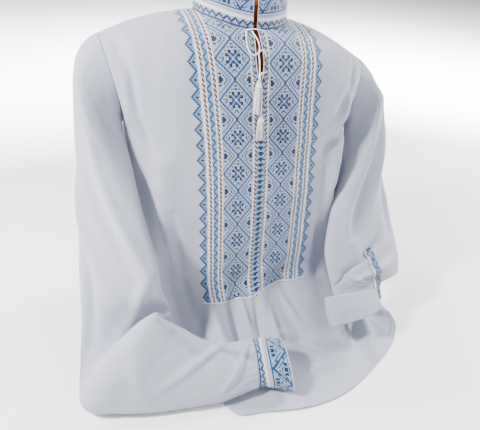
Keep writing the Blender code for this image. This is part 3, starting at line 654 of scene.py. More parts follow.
def band_chart(a, r, rows, band_start):
    """A cuff or the collar: a zigzag row, a plain band, then a wide zigzag with dots."""
    out = np.full(a.shape, CLOTH)
    edge_line = zigzag_line(a, r, 1.5, 3.0, 6)
    out[(r <= 4) & (edge_line > 0)] = WASH
    out[edge_line < 1.1] = DARK
    out[r == 0] = MID
    out[(r >= 6) & (r <= 7)] = WHITE
    out[(r == band_start - 2) & (a % 2 < 1)] = GREY
    wide = (r >= band_start) & (r < rows - 1)
    rise = rows - 3 - band_start
    line = zigzag_line(a, r, band_start + 1, rise, 24)
    out[wide] = WASH
    out[wide & ((a + r) % 2 < 1)] = PALE
    out[wide & (line < 5.0)] = CLOTH
    out[wide & (line < 4.0) & (line > 2.4)] = LIGHT
    out[wide & (line < 1.5)] = MID
    out[r == band_start] = MID
    fold = np.abs((a + 12) % 24 - 12)
    for centre, at in ((0, rise - 2), (12, 3)):
        away = np.abs(fold - centre)
        deep = np.abs(r - band_start - at)
        out[wide & (away < 1.2) & (deep < 1.2)] = DARK
        out[wide & (np.abs(away - 3.5) < 0.9) & (deep < 1.2)] = DARK
        out[wide & (away < 1.2) & (np.abs(deep - 3) < 0.9)] = DARK
    out[(r == rows - 2) & (a % 2 < 1)] = MID
    return out


def strip_chart(a, r):
    """The strip on the left sleeve: small diamonds with dots, and a white binding on one edge."""
    out = np.full(a.shape, WHITE)
    x = np.abs(a - 4.0)
    y = np.abs((r + 4) % 8 - 4.0)
    inside = a <= 8
    out[inside] = WASH
    out[inside & (np.abs(x + y - 4) < 0.8)] = MID
    out[inside & (x + y < 2.2)] = DARK
    out[inside & (x > 2.4) & (y > 2.4)] = DARK
    out[inside & ((r < 1) | (r > 54))] = DARK
    return out


def rolled_edge(points, faces, uv, colours, path, radius, colour):
    """Add a round rolled edge along a path to a piece's lists."""
    path = np.array(path, float)
    along = unit(np.gradient(path, axis=0))
    side = unit(np.cross(along, (0.31, 0.17, 0.93)))
    up = np.cross(side, along)
    base, sides = len(points), 6
    for centre, a, b in zip(path, side, up):
        for k in range(sides):
            turn = 2 * math.pi * k / sides
            q = centre + radius * (a * math.cos(turn) + b * math.sin(turn))
            points.append((q[0], q[1], max(q[2], FLOOR)))
            uv.append((len(points) * 0.3, k))
    for j in range(len(path) - 1):
        for k in range(sides):
            n = (k + 1) % sides
            faces.append((base + j * sides + k, base + j * sides + n,
                          base + (j + 1) * sides + n, base + (j + 1) * sides + k))
            colours.append(colour)


def fresh_mesh(name, points, faces, uv=None, colours=None, smooth=True):
    """A mesh object; uv is per point and colours are per face, with 1 in the fourth where stitched."""
    mesh = bpy.data.meshes.new(name)
    mesh.from_pydata([tuple(p) for p in points], [], [tuple(f) for f in faces])
    loops = np.zeros(len(mesh.loops), int)
    mesh.loops.foreach_get("vertex_index", loops)
    if uv is not None:
        layer = mesh.uv_layers.new(name="UVMap")
        layer.data.foreach_set("uv", np.asarray(uv, float)[loops].ravel())
    if colours is not None:
        layer = mesh.color_attributes.new(name="stitch", type="FLOAT_COLOR", domain="CORNER")
        sizes = [len(f) for f in faces]
        layer.data.foreach_set("color", np.repeat(np.asarray(colours, float), sizes, axis=0).ravel())
    if smooth:
        mesh.shade_smooth()
    thing = bpy.data.objects.new(name, mesh)
    bpy.context.scene.collection.objects.link(thing)
    return thing


def stitch_colours(codes, rng):
    """Thread colours, and the openwork's painted shade, with a little unevenness; plain cloth gets 0 in
    the fourth.
    """
    table = np.array([PALETTE[name] for name in COLOURS])
    rgb = table[codes] * rng.uniform(0.90, 1.08, codes.shape)[..., None]
    return np.concatenate((np.clip(rgb, 0, 1), (codes != CLOTH)[..., None].astype(float)), axis=-1)


def front_piece(material):
    """The front: stitches, openwork cut through, slit, folds and hem."""
    panel = Panel(-1)
    rng = np.random.default_rng(3)
    columns = np.arange(-BIB_COLUMNS - SIDE_COLUMNS, BIB_COLUMNS + SIDE_COLUMNS + 1)
    bib_rows = int(round((BIB_END - BIB_TOP) / STITCH_HEIGHT))
    downs = BIB_END - STITCH_HEIGHT * np.arange(bib_rows, -1, -1)
    total = bib_rows + 1 + SKIRT_ROWS
    place = rows_at(BIB_PLACE, downs)
    place = np.concatenate((place, np.repeat(place[-1:], SKIRT_ROWS, axis=0)))
    inner = np.clip(np.abs(columns) / BIB_COLUMNS, 0, 1)
    outer = np.clip((np.abs(columns) - BIB_COLUMNS) / SIDE_COLUMNS, 0, 1)
    edge = np.where(columns[None, :] < 0, place[:, :1], place[:, 2:3]) / HALF_GIRTH
    centre = place[:, 1:2] / HALF_GIRTH
    share = centre + (edge - centre) * inner[None, :]
    share = share + (np.sign(columns)[None, :] - edge) * outer[None, :]
    down = np.zeros(share.shape)
    level = np.zeros(share.shape)
    slant = rows_at(BIB_SLANT, downs)
    bend = (1 + np.tanh(columns / 7)) / 2
    fade = 1 - 0.5 * outer
    skirt = np.concatenate((np.linspace(0, 0.93, SKIRT_ROWS - 12)[1:], np.linspace(0.93, 1, 14)[1:]))
    for j in range(total):
        tops, hems = panel.ends(share[j])
        if j <= bib_rows:
            shift = (slant[j, 0] + (slant[j, 1] - slant[j, 0]) * bend) * fade
            down[j] = np.maximum(downs[j] + shift, tops)
        else:
            down[j] = down[bib_rows] + (hems - down[bib_rows]) * skirt[j - bib_rows - 1]
        level[j] = [panel.level(s, d) for s, d in zip(share[j], down[j])]
    p = body_points(share, level, -1)
    p = creased(p, share, level, down, -1)
    hem = panel.ends(share[-1])[1][None, :] - down
    roll = 0.0008 * ease((0.010 - hem) / 0.002) - 0.0008 * np.exp(-((hem - 0.0105) / 0.0012) ** 2)
    p = p + body_normals(share, level, -1) * roll[..., None]
    p[..., 2] = np.maximum(p[..., 2], FLOOR + WALL)

    middle = np.argmin(np.abs(columns))
    along = np.clip((SLIT_TOP_Z - p[:, middle, 2]) / (SLIT_TOP_Z - SLIT_BOTTOM_Z), 0, 1)
    half = SLIT_HALF_WIDTH * (0.85 + 1.15 * along) * (1 - along ** 4)
    open_rows = p[:, middle, 2] > SLIT_BOTTOM_Z
    near = np.clip(1 - np.abs(share - centre) * HALF_GIRTH / 0.016, 0, 1)
    push = np.sign(columns)[None, :] * near * (half * open_rows)[:, None]
    p[..., 0] += push
    index = np.arange(p.shape[0] * p.shape[1]).reshape(p.shape[:2])
    points = [tuple(q) for q in p.reshape(-1, 3)]
    uv = np.stack((share * HALF_GIRTH / STITCH_WIDTH, -down / STITCH_HEIGHT), axis=-1)
    bib = slice(middle - BIB_COLUMNS, middle + BIB_COLUMNS + 1)
    uv[:bib_rows + 1, bib, 0] = columns[bib]
    uv[:bib_rows + 1, :, 1] = (bib_rows - np.arange(bib_rows + 1))[:, None]
    uv = [tuple(q) for q in uv.reshape(-1, 2)]
    right = index[:, middle].copy()
    for j in np.nonzero(open_rows)[0]:
        q = list(points[index[j, middle]])
        right[j] = len(points)
        points.append((q[0] + half[j], q[1], q[2]))
        uv.append(uv[index[j, middle]])
        points[index[j, middle]] = (q[0] - half[j], q[1], q[2])

    cell_column, cell_row = np.meshgrid(columns[:-1], bib_rows - 1 - np.arange(bib_rows))
    codes = bib_chart(cell_column, cell_row)
    holes = bib_holes(cell_column, cell_row)
    in_bib = (cell_column >= -BIB_COLUMNS) & (cell_column < BIB_COLUMNS)
    # Painted shade: the openwork's cells, frames round the holes included, take the dark red-brown that
    # stands in for shadow behind them
    codes[holes > 0] = OPENWORK_PAINTED_SHADE
    codes[~in_bib] = CLOTH
    holes[~in_bib] = 0
    cell_colours = stitch_colours(codes, rng)
    plain = np.array((*PALETTE["cloth"], 0.0))

    faces, colours = [], []
    for j in range(total - 1):
        for i in range(len(columns) - 1):
            a, b, c, d = index[j, i], index[j, i + 1], index[j + 1, i + 1], index[j + 1, i]
            if i == middle:
                a, d = right[j], right[j + 1]
            if down[j, i] == down[j + 1, i] and down[j, i + 1] == down[j + 1, i + 1]:
                continue
            colour = cell_colours[j, i] if j < bib_rows else plain
            if j < bib_rows and holes[j, i] and down[j + 1, i] - down[j, i] > 0.6 * STITCH_HEIGHT:
                corners = np.array([points[k] for k in (a, b, c, d)])
                ring = []
                y0, y1 = HOLE_ROWS[holes[j, i] - 1]
                for x, y in ((0.14, y0), (0.86, y0), (0.86, y1), (0.14, y1)):
                    q = ((corners[0] * (1 - x) + corners[1] * x) * (1 - y)
                         + (corners[3] * (1 - x) + corners[2] * x) * y)
                    ring.append(len(points))
                    points.append(tuple(q))
                    ua, ub = np.array(uv[a]), np.array(uv[c])
                    uv.append(tuple(ua + (ub - ua) * (x, y)))
                outside = (a, b, c, d)
                for k in range(4):
                    n = (k + 1) % 4
                    faces.append((outside[n], outside[k], ring[k], ring[n]))
                    colours.append(colour)
            else:
                faces.append((b, a, d, c))
                colours.append(colour)
    edges = [np.array(points)[index[-1]]]
    slit = np.nonzero(open_rows & (down[:, middle] > down[0, middle] + 1e-6))[0]
    edges.append(np.array(points)[index[slit, middle]])
    edges.append(np.array(points)[right[slit]])
    white = np.array((*PALETTE["white"], 1.0))
    for path, colour in zip(edges, (plain, white, white)):
        rolled_edge(points, faces, uv, colours, path, EDGE_RADIUS, colour)
    thing = fresh_mesh("cloth_front", points, faces, uv, colours)
    thing.data.materials.append(material)
    return thing


def back_piece(material):
    """The back: plain cloth with folds and hem."""
    panel = Panel(1)
    shares = np.linspace(-1, 1, 121)
    rows = 170
    tops, hems = panel.ends(shares)
    k = np.concatenate((np.linspace(0, 0.978, rows - 19), np.linspace(0.978, 1, 20)[1:]))[:, None]
    down = tops[None, :] + (hems - tops)[None, :] * k
    share = np.repeat(shares[None, :], rows, axis=0)
    level = np.array([[panel.level(s, d) for s, d in zip(shares, row)] for row in down])
    p = creased(body_points(share, level, 1), share, level, down, 1)
    hem = hems[None, :] - down
    roll = 0.0007 * ease((0.010 - hem) / 0.002) - 0.0005 * np.exp(-((hem - 0.0105) / 0.0010) ** 2)
    p = p + body_normals(share, level, 1) * roll[..., None]
    p[..., 2] = np.maximum(p[..., 2], FLOOR + WALL)
    uv = np.stack((share * HALF_GIRTH / STITCH_WIDTH, -down / STITCH_HEIGHT), axis=-1)
    points = [tuple(q) for q in p.reshape(-1, 3)]
    uv = [tuple(q) for q in uv.reshape(-1, 2)]
    faces = grid_faces(*p.shape[:2])
    rolled_edge(points, faces, uv, [], p[-1], EDGE_RADIUS, None)
    thing = fresh_mesh("cloth_back", points, faces, uv)
    thing.data.materials.append(material)
    return thing


def grid_faces(rows, columns, closed=False, flip=False):
    faces = []
    width = columns if closed else columns - 1
    for j in range(rows - 1):
        for i in range(width):
            n = (i + 1) % columns
            quad = (j * columns + i, j * columns + n, (j + 1) * columns + n, (j + 1) * columns + i)
            faces.append(quad[::-1] if flip else quad)
    return faces


def loops_at(stations, s, around, arm):
    """Loops of a sleeve or cuff at places s along its table of stations."""
    rows = np.array(stations, float)
    table = np.column_stack((np.arange(len(rows)), rows))
    s = np.asarray(s, float)
    now = rows_at(table, s)
    after = rows_at(table, np.minimum(s + 0.05, len(rows) - 1))
    before = rows_at(table, np.maximum(s - 0.05, 0))
    centre = (now[:, 0:3] + now[:, 3:6]) / 2
    axis = unit(after[:, 0:3] + after[:, 3:6] - before[:, 0:3] - before[:, 3:6])
    across = (now[:, 3:6] - now[:, 0:3]) / 2
    front = unit(np.cross(axis, across)) * arm
    turn = 2 * math.pi * np.arange(around) / around
    c = np.sign(np.cos(turn)) * np.abs(np.cos(turn)) ** 0.9
    d = np.sign(np.sin(turn)) * np.abs(np.sin(turn)) ** 0.9
    bulge = np.where(np.sin(turn)[None, :] > 0, now[:, 6:7], now[:, 7:8])
    p = (centre[:, None, :] + across[:, None, :] * c[None, :, None]
         + front[:, None, :] * (bulge * d[None, :])[..., None])
    p[..., 2] = np.maximum(p[..., 2], FLOOR)
    return p


def armhole_loop(around, arm):
    """The armhole seam, starting a quarter turn from the shoulder tip."""
    turn = (np.arange(around) / around + ARMHOLE_TURN) % 1
    level = np.where(turn <= 0.5, 2 * turn, 2 * (1 - turn))
    front = body_points(np.full(around, float(arm)), level, -1)
    back = body_points(np.full(around, float(arm)), level, 1)
    p = np.where((turn <= 0.5)[:, None], front, back)
    p[:, 0] += arm * (SEAM_GAP + 0.0003)
    return p


def tube_normals(p, arm):
    """Outward normals of a grid of loops."""
    around = np.roll(p, -1, axis=1) - np.roll(p, 1, axis=1)
    along = np.gradient(p, axis=0)
    return unit(np.cross(around, along)) * arm


def sleeve_piece(name, stations, arm, end, creases, material):
    """A sleeve from its armhole to its cuff, with folds and small gathers at the cuff."""
    around, cap, steps = 112, CAP_STEPS, int(end * 22)
    hole = armhole_loop(around, arm)
    first, second = loops_at(stations, (0.0, 0.2), around, arm)
    loops = []
    for j in range(cap):
        t = j / cap
        reach = np.linalg.norm(first - hole, axis=1, keepdims=True)
        high = ease((hole[:, 2:3] - UNDERARM_Z) / (SHOULDER_TIP[2] - UNDERARM_Z))
        leave = np.concatenate((arm * (0.3 + 0.7 * high), 0 * high, 0.6 * high - 1), axis=1)
        leave = unit(leave) * reach * (0.5 + 0.8 * high)
        loops.append(hermite(hole, leave, first, unit(second - first) * reach * 0.8, t))
    places = np.linspace(0, end, steps)
    p = np.concatenate((np.array(loops), loops_at(stations, places, around, arm)))
    s = np.concatenate((np.linspace(-1.2, 0, cap, endpoint=False), places))[:, None]
    turn = (np.arange(around) / around)[None, :]
    s, turn = np.broadcast_arrays(s, turn)
    station_length, turn_length = 0.055, 0.30
    table = [(a * station_length, b * turn_length, c * station_length, d * turn_length, w, h)
             for a, b, c, d, w, h in creases]
    depth = ridge_sum(table, s * station_length, turn * turn_length) * SLEEVE_CREASE_SCALE
    wave = 2 * math.pi * turn
    depth += 0.0008 * np.sin(3 * wave + s * 2.1) * np.sin(s * 2.9 + 0.4)
    depth += 0.0004 * np.sin(8 * wave - s * 4.1) * np.sin(s * 6.1 + 1.0)
    gather = np.exp(-((end - s) / 0.35))
    depth += 0.0013 * gather * np.sin(17 * wave + 1.4 * np.sin(5 * wave))
    depth *= ease((s + 1.2) / 0.5) * ease((end - s) / 0.05 + 0.2)
    p = p + tube_normals(p, arm) * depth[..., None]
    p[..., 2] = np.maximum(p[..., 2], FLOOR)
    uv = np.stack((turn * 170, -s * 26), axis=-1)
    thing = fresh_mesh(name, p.reshape(-1, 3), grid_faces(*p.shape[:2], closed=True, flip=arm < 0),
                       uv.reshape(-1, 2))
    thing.data.materials.append(material)
    return thing, p


def shell(name, outer, normals, wall, codes, material, closed, rng, flip=False):
    """A two-layer piece: stitched outside, rounded rims, plain inside, all closed."""
    rows, columns = outer.shape[:2]
    inner = outer - normals * wall
    lift = 0.35 * wall
    first_rim = (outer[:1] + inner[:1]) / 2 + (unit(outer[0] - outer[1]) * lift)[None]
    last_rim = (outer[-1:] + inner[-1:]) / 2 + (unit(outer[-1] - outer[-2]) * lift)[None]
    grid = np.concatenate((inner[::-1], first_rim, outer, last_rim))
    grid[..., 2] = np.maximum(grid[..., 2], FLOOR)
    faces = []
    width = columns if closed else columns - 1
    count = grid.shape[0]
    colours = []
    plain = (*PALETTE["cloth"], 0.0)
    stitches = stitch_colours(codes, rng)
    for j in range(count):
        below = (j + 1) % count
        for i in range(width):
            n = (i + 1) % columns
            quad = (j * columns + i, j * columns + n, below * columns + n, below * columns + i)
            faces.append(quad[::-1] if flip else quad)
            shown = rows + 1 <= j < 2 * rows
            colours.append(stitches[j - rows - 1, i] if shown else plain)
    if not closed:
        for i in (0, columns - 1):
            for j in range(rows - 1):
                a = (rows - 1 - j) * columns + i
                b = (rows + 1 + j) * columns + i
                quad = (a, b, b + columns, a - columns)
                faces.append(quad if (i == 0) == flip else quad[::-1])
                colours.append(plain)
            for rim, one, two in ((rows, rows - 1, rows + 1), (2 * rows + 1, 2 * rows, 0)):
                corner = (rim * columns + i, one * columns + i, two * columns + i)
                faces.append(corner)
                colours.append(plain)
    u, v = np.meshgrid(np.arange(columns), np.arange(count) - rows - 1)
    uv = np.stack((u, v), axis=-1).reshape(-1, 2)
    thing = fresh_mesh(name, grid.reshape(-1, 3), faces, uv, colours)
    thing.data.materials.append(material)
    return thing


def cuff_right_piece(material):
    around, rows = 120, 28
    p = loops_at(SLEEVE_RIGHT, np.linspace(CUFF_RIGHT_START, 11, rows + 1), around, -1)
    a, r = np.meshgrid(np.arange(around), np.arange(rows))
    codes = band_chart(a, r, rows, 12)
    rng = np.random.default_rng(5)
    return shell("cloth_cuff_right", p, tube_normals(p, -1), 0.0020, codes, material, True, rng,
                 flip=True)


def cuff_left_piece(material):
    """The left cuff, turned back so that its plain inside shows. Its outer end is narrower."""
    around, rows, dense = 96, 20, 80
    loops = loops_at(CUFF_LEFT, np.linspace(0, 2, dense + 1), around, 1)
    turn = 2 * math.pi * np.arange(around) / around
    narrow = 0.34 * ((1 + np.cos(turn)) / 2) ** 1.5
    down = np.linspace(0, 1, rows + 1)[:, None]
    place = down * (1 - narrow[None, :]) * dense * 0.999
    at = place.astype(int)
    f = (place - at)[..., None]
    k = np.arange(around)[None, :]
    p = loops[at, k] * (1 - f) + loops[at + 1, k] * f
    wave = 0.0024 * np.sin(2 * turn + 0.5)[None, :] * down
    wave = wave + 0.0020 * np.sin(5 * turn + 0.8)[None, :] * ease(down)
    p = p + tube_normals(p, 1) * wave[..., None]
    codes = np.full((rows, around), CLOTH)
    rng = np.random.default_rng(6)
    return shell("cloth_cuff_left", p, tube_normals(p, 1), 0.0020, codes, material, True, rng)


def collar_piece(material):
    """The collar stand, open at the slit, with its zigzag, plain band and pattern."""
    around, rows = 230, 24
    start = math.asin(SLIT_HALF_WIDTH * 0.8 / NECK_HALF_WIDTH)
    turn = start + (2 * math.pi - 2 * start) * np.linspace(0, 1, around + 1)
    share = NECK_SHARE * np.clip(np.sin(turn), -1, 1)
    level = np.zeros_like(share)
    foot = np.where((np.cos(turn) > 0)[:, None], cloth_points(share, level, -1),
                    cloth_points(share, level, 1))
    up = np.linspace(0, 1, rows + 1)[:, None]
    narrow = 1 - COLLAR_TAPER * up
    p = np.stack((foot[None, :, 0] * narrow, foot[None, :, 1] * narrow,
                  foot[None, :, 2] + COLLAR_HEIGHT * up + 2 * SEAM_GAP), axis=-1)
    out = unit(np.stack((p[..., 0], p[..., 1], 0 * p[..., 0]), axis=-1))
    ripple = 0.0004 * np.sin(turn * 9)[None, :] * up
    p = p + out * ripple[..., None]
    along = np.gradient(p, axis=1)
    normals = unit(np.cross(along, np.array((0, 0, 1.0))))
    normals *= np.sign(np.sum(normals * out, axis=-1, keepdims=True))
    a, r = np.meshgrid(np.arange(around) - 3, np.arange(rows))
    codes = band_chart(a, r, rows + 4, 11)
    rng = np.random.default_rng(8)
    return shell("cloth_collar", p, normals, COLLAR_WALL - 0.0002, codes, material, False, rng)


def placket_piece(sleeve_grid, material):
    """The embroidered strip, made from the sleeve's own points and moved out."""
    rows, columns = 56, 11
    end = len(SLEEVE_LEFT) - 1
    places = np.linspace(PLACKET[0][0], PLACKET[-1][0], rows + 1)
    edges = rows_at(PLACKET, places)
    cap, around = CAP_STEPS, sleeve_grid.shape[1]
    across = np.linspace(0, 1, columns + 1)[None, :]
    turn = edges[:, :1] + (edges[:, 1:] - edges[:, :1]) * across
    row = cap + places[:, None] / end * (sleeve_grid.shape[0] - cap - 1) + 0 * turn
    j, k = row.astype(int), (turn * around).astype(int)
    past_row, past_column = (row - j)[..., None], (turn * around - k)[..., None]

    def read(grid):
        upper = grid[j, k] * (1 - past_column) + grid[j, k + 1] * past_column
        lower = grid[j + 1, k] * (1 - past_column) + grid[j + 1, k + 1] * past_column
        return upper * (1 - past_row) + lower * past_row

    n = unit(read(tube_normals(sleeve_grid, 1)))
    p = read(sleeve_grid) + n * 0.0018
    a, r = np.meshgrid(np.arange(columns), np.arange(rows))
    rng = np.random.default_rng(9)
    return shell("cloth_strip", p, n, 0.0009, strip_chart(a, r), material, False, rng)


def smooth_route(points, spacing):
    """Points at even spacing on a smooth curve through the route's own points."""
    points = np.array(points, float)
    run = np.concatenate(([0], np.cumsum(np.linalg.norm(np.diff(points, axis=0), axis=1))))
    dense = rows_at(np.column_stack((run, points)), np.linspace(0, run[-1], 400))
    length = np.concatenate(([0], np.cumsum(np.linalg.norm(np.diff(dense, axis=0), axis=1))))
    count = int(length[-1] / spacing) + 1
    places = np.linspace(0, length[-1], count)
    return np.column_stack([np.interp(places, length, dense[:, i]) for i in range(3)]), length[-1]


def poly_curve(name, points, radius, material):
    """A round cord through these points."""
    curve = bpy.data.curves.new(name, "CURVE")
    curve.dimensions = "3D"
    curve.bevel_depth = radius
    curve.bevel_resolution = 2
    curve.use_fill_caps = True
    spline = curve.splines.new("POLY")
    spline.points.add(len(points) - 1)
    for point, p in zip(spline.points, points):
        point.co = (*p, 1)
    thing = bpy.data.objects.new(name, curve)
    bpy.context.scene.collection.objects.link(thing)
    curve.materials.append(material)
    return thing


def tassel_piece(name, ends, rng, material):
    """A bound head and many separate threads, cut off straight."""
    top, neck, end = (np.array(p) for p in ends)
    points, faces, colours = [], [], []

    def tube(centres, radii_x, radii_y, sides, darkening):
        base, first = len(points), len(faces)
        for centre, rx, ry in zip(centres, radii_x, radii_y):
            for k in range(sides):
                turn = 2 * math.pi * k / sides
                points.append((centre[0] + rx * math.cos(turn), centre[1] + ry * math.sin(turn),
                               centre[2]))
        for j in range(len(centres) - 1):
            for k in range(sides):
                n = (k + 1) % sides
                faces.append((base + j * sides + k, base + (j + 1) * sides + k,
                              base + (j + 1) * sides + n, base + j * sides + n))
        faces.append(tuple(base + k for k in range(sides)))
        last = base + (len(centres) - 1) * sides
        faces.append(tuple(last + k for k in reversed(range(sides))))
        colours.extend([(darkening, darkening, darkening * 1.02, 1.0)] * (len(faces) - first))

    # The head and its binding rings are darkened a little, the head more than the rings.
    shape = ((0.00, 0.30), (0.15, 0.42), (0.35, 0.56), (0.60, 0.78), (0.85, 0.94), (1.05, 0.98))
    centres = [top + (neck - top) * t for t, _ in shape]
    tube(centres, [TASSEL_NECK[0] * w for _, w in shape],
         [TASSEL_NECK[1] * w for _, w in shape], 20, 0.80)
    for height in (0.30, 0.37, 0.44):
        ring = [top + (neck - top) * (height + d) for d in (-0.03, 0.0, 0.03)]
        tube(ring, [TASSEL_NECK[0] * w for w in (0.52, 0.64, 0.56)],
             [TASSEL_NECK[1] * w for w in (0.52, 0.68, 0.56)], 16, 0.88)
    radius = 0.00036
    for number in range(TASSEL_STRANDS):
        share = math.sqrt((number + 0.5) / TASSEL_STRANDS)
        angle = number * 2.39996
        x, y = share * math.cos(angle), share * math.sin(angle)
        lean = rng.uniform(-0.0006, 0.0006, 2)
        short = rng.uniform(0.965, 1.0)
        path = []
        for t in np.linspace(0, 1, 7):
            spread = 0.92 + (TASSEL_SPREAD - 0.92) * t ** 0.7
            centre = neck + (end - neck) * t * short
            wave = 0.00025 * math.sin(5 * t + number)
            path.append(centre + np.array((x * TASSEL_NECK[0] * spread * 0.97 + lean[0] * t + wave,
                                           y * TASSEL_NECK[1] * spread * 0.97 + lean[1] * t * 0.5, 0)))
        # Each strand is darkened at random to one of four levels: painted shade between the strands, to
        # make the tassel read loose and hollow.
        tube(path, [radius] * 7, [radius] * 7, 4, rng.choice((0.34, 0.62, 0.80, 0.90)))
    thing = fresh_mesh(name, points, faces, None, colours)
    thing.data.materials.append(material)
    return thing


def new_material(name):
    material = bpy.data.materials.new(name)
    material.use_nodes = True
    return material, material.node_tree.nodes, material.node_tree.links


def add_node(nodes, kind, **inputs):
    node = nodes.new(kind)
    for key, value in inputs.items():
        setattr(node, key, value)
    return node


def math_node(nodes, links, operation, a, b=None):
    node = nodes.new("ShaderNodeMath")
    node.operation = operation
    for socket, value in zip(node.inputs, (a, b)):
        if value is None:
            continue
        if isinstance(value, (int, float)):
            socket.default_value = value
        else:
            links.new(value, socket)
    return node.outputs[0]


def colour_mix(nodes, links, share, first, second):
    """A mix of two colours, each a fixed one or another node's output."""
    mix = add_node(nodes, "ShaderNodeMix", data_type="RGBA")
    links.new(share, mix.inputs[0])
    for socket, value in zip(mix.inputs[6:8], (first, second)):
        if isinstance(value, tuple):
            socket.default_value = (*value, 1)
        else:
            links.new(value, socket)
    return mix.outputs[2]


def add_bump(nodes, links, shader, height, strength, distance):
    bump = nodes.new("ShaderNodeBump")
    bump.inputs["Strength"].default_value = strength
    bump.inputs["Distance"].default_value = distance
    links.new(height, bump.inputs["Height"])
    links.new(bump.outputs[0], shader.inputs["Normal"])


def linen(name, stitched):
    """Linen with a plain weave; where a piece is stitched, its colours and small crosses, darkened
    between the crosses and lightened along them as painted shade and painted highlight.
    """
    material, nodes, links = new_material(name)
    shader = nodes["Principled BSDF"]
    shader.inputs["Roughness"].default_value = 0.86
    shader.inputs["Sheen Weight"].default_value = 0.25
    shader.inputs["Sheen Roughness"].default_value = 0.5
    shader.inputs["Specular IOR Level"].default_value = 0.25
    place = add_node(nodes, "ShaderNodeUVMap", uv_map="UVMap")
    split = nodes.new("ShaderNodeSeparateXYZ")
    links.new(place.outputs[0], split.inputs[0])
    u, v = split.outputs[0], split.outputs[1]
    warp = math_node(nodes, links, "SINE", math_node(nodes, links, "MULTIPLY", u, 2 * math.pi * 2.5))
    weft = math_node(nodes, links, "SINE", math_node(nodes, links, "MULTIPLY", v, 2 * math.pi * 3.0))
    cross = math_node(nodes, links, "MULTIPLY", warp, weft)
    slub = nodes.new("ShaderNodeTexNoise")
    slub.inputs["Scale"].default_value = 1.0
    slub.inputs["Detail"].default_value = 3.0
    stretch = nodes.new("ShaderNodeVectorMath")
    stretch.operation = "MULTIPLY"
    links.new(place.outputs[0], stretch.inputs[0])
    stretch.inputs[1].default_value = (2.4, 0.35, 1.0)
    links.new(stretch.outputs[0], slub.inputs["Vector"])
    height = math_node(nodes, links, "ADD", math_node(nodes, links, "MULTIPLY", cross, 0.5),
                       slub.outputs[0])
    colour = colour_mix(nodes, links, slub.outputs[0], LINEN_DARK, LINEN_LIGHT)
    if stitched:
        paint = add_node(nodes, "ShaderNodeVertexColor", layer_name="stitch")
        fu = math_node(nodes, links, "SUBTRACT", math_node(nodes, links, "FRACT", u), 0.5)
        fv = math_node(nodes, links, "SUBTRACT", math_node(nodes, links, "FRACT", v), 0.5)
        rising = math_node(nodes, links, "ABSOLUTE", math_node(nodes, links, "SUBTRACT", fu, fv))
        falling = math_node(nodes, links, "ABSOLUTE", math_node(nodes, links, "ADD", fu, fv))
        away = math_node(nodes, links, "MINIMUM", rising, falling)
        gap = math_node(nodes, links, "MINIMUM", math_node(nodes, links, "MULTIPLY", away, 3.2), 1.0)
        thread = math_node(nodes, links, "SUBTRACT", 1.0, gap)
        raised = math_node(nodes, links, "MULTIPLY", thread, paint.outputs[1])
        height = math_node(nodes, links, "ADD", height, math_node(nodes, links, "MULTIPLY", raised, 2.2))
        # Painted shade in the gaps between the crosses and a painted highlight along the raised threads:
        # the thread colour is scaled from 0.86 to 1.08
        painted_shade_and_highlight = math_node(nodes, links, "ADD", math_node(nodes, links, "MULTIPLY", thread, 0.22), 0.86)
        thread_colour = nodes.new("ShaderNodeVectorMath")
        thread_colour.operation = "SCALE"
        links.new(paint.outputs[0], thread_colour.inputs[0])
        links.new(painted_shade_and_highlight, thread_colour.inputs["Scale"])
        colour = colour_mix(nodes, links, paint.outputs[1], colour, thread_colour.outputs[0])
    links.new(colour, shader.inputs["Base Color"])
    add_bump(nodes, links, shader, height, 0.55, 0.00045)
    return material


def thread_material(name, darkened):
    """Soft white cotton; for the tassels it is multiplied by each face's darkening, which on the strands
    is painted shade between them.
    """
    material, nodes, links = new_material(name)
    shader = nodes["Principled BSDF"]
    shader.inputs["Roughness"].default_value = 0.7
    shader.inputs["Sheen Weight"].default_value = 0.3
    noise = nodes.new("ShaderNodeTexNoise")
    noise.inputs["Scale"].default_value = 900.0
    spot = nodes.new("ShaderNodeTexCoord")
    links.new(spot.outputs["Object"], noise.inputs["Vector"])
    colour = colour_mix(nodes, links, noise.outputs[0], (0.78, 0.79, 0.82), (0.93, 0.93, 0.94))
    if darkened:
        darkening = add_node(nodes, "ShaderNodeVertexColor", layer_name="stitch")
        both = nodes.new("ShaderNodeVectorMath")
        both.operation = "MULTIPLY"
        links.new(colour, both.inputs[0])
        links.new(darkening.outputs[0], both.inputs[1])
        colour = both.outputs[0]
    links.new(colour, shader.inputs["Base Color"])
    add_bump(nodes, links, shader, noise.outputs[0], 0.4, 0.0003)
    return material


def form_material():
    """Polished red-brown skin of the dress form."""
    material, nodes, links = new_material("form_skin")
    shader = nodes["Principled BSDF"]
    shader.inputs["Roughness"].default_value = 0.32
    shader.inputs["Coat Weight"].default_value = 0.3
    spot = nodes.new("ShaderNodeTexCoord")
    noise = nodes.new("ShaderNodeTexNoise")
    noise.inputs["Scale"].default_value = 14.0
    noise.inputs["Detail"].default_value = 4.0
    links.new(spot.outputs["Object"], noise.inputs["Vector"])
    colour = colour_mix(nodes, links, noise.outputs[0], (0.52, 0.100, 0.018), (0.66, 0.150, 0.030))
    links.new(colour, shader.inputs["Base Color"])
    return material


def floor_material():
    material, nodes, links = new_material("table")
    shader = nodes["Principled BSDF"]
    shader.inputs["Roughness"].default_value = 0.6
    noise = nodes.new("ShaderNodeTexNoise")
    noise.inputs["Scale"].default_value = 3.0
    colour = colour_mix(nodes, links, noise.outputs[0], (0.965, 0.965, 0.965), (0.975, 0.975, 0.975))
    links.new(colour, shader.inputs["Base Color"])
    return material


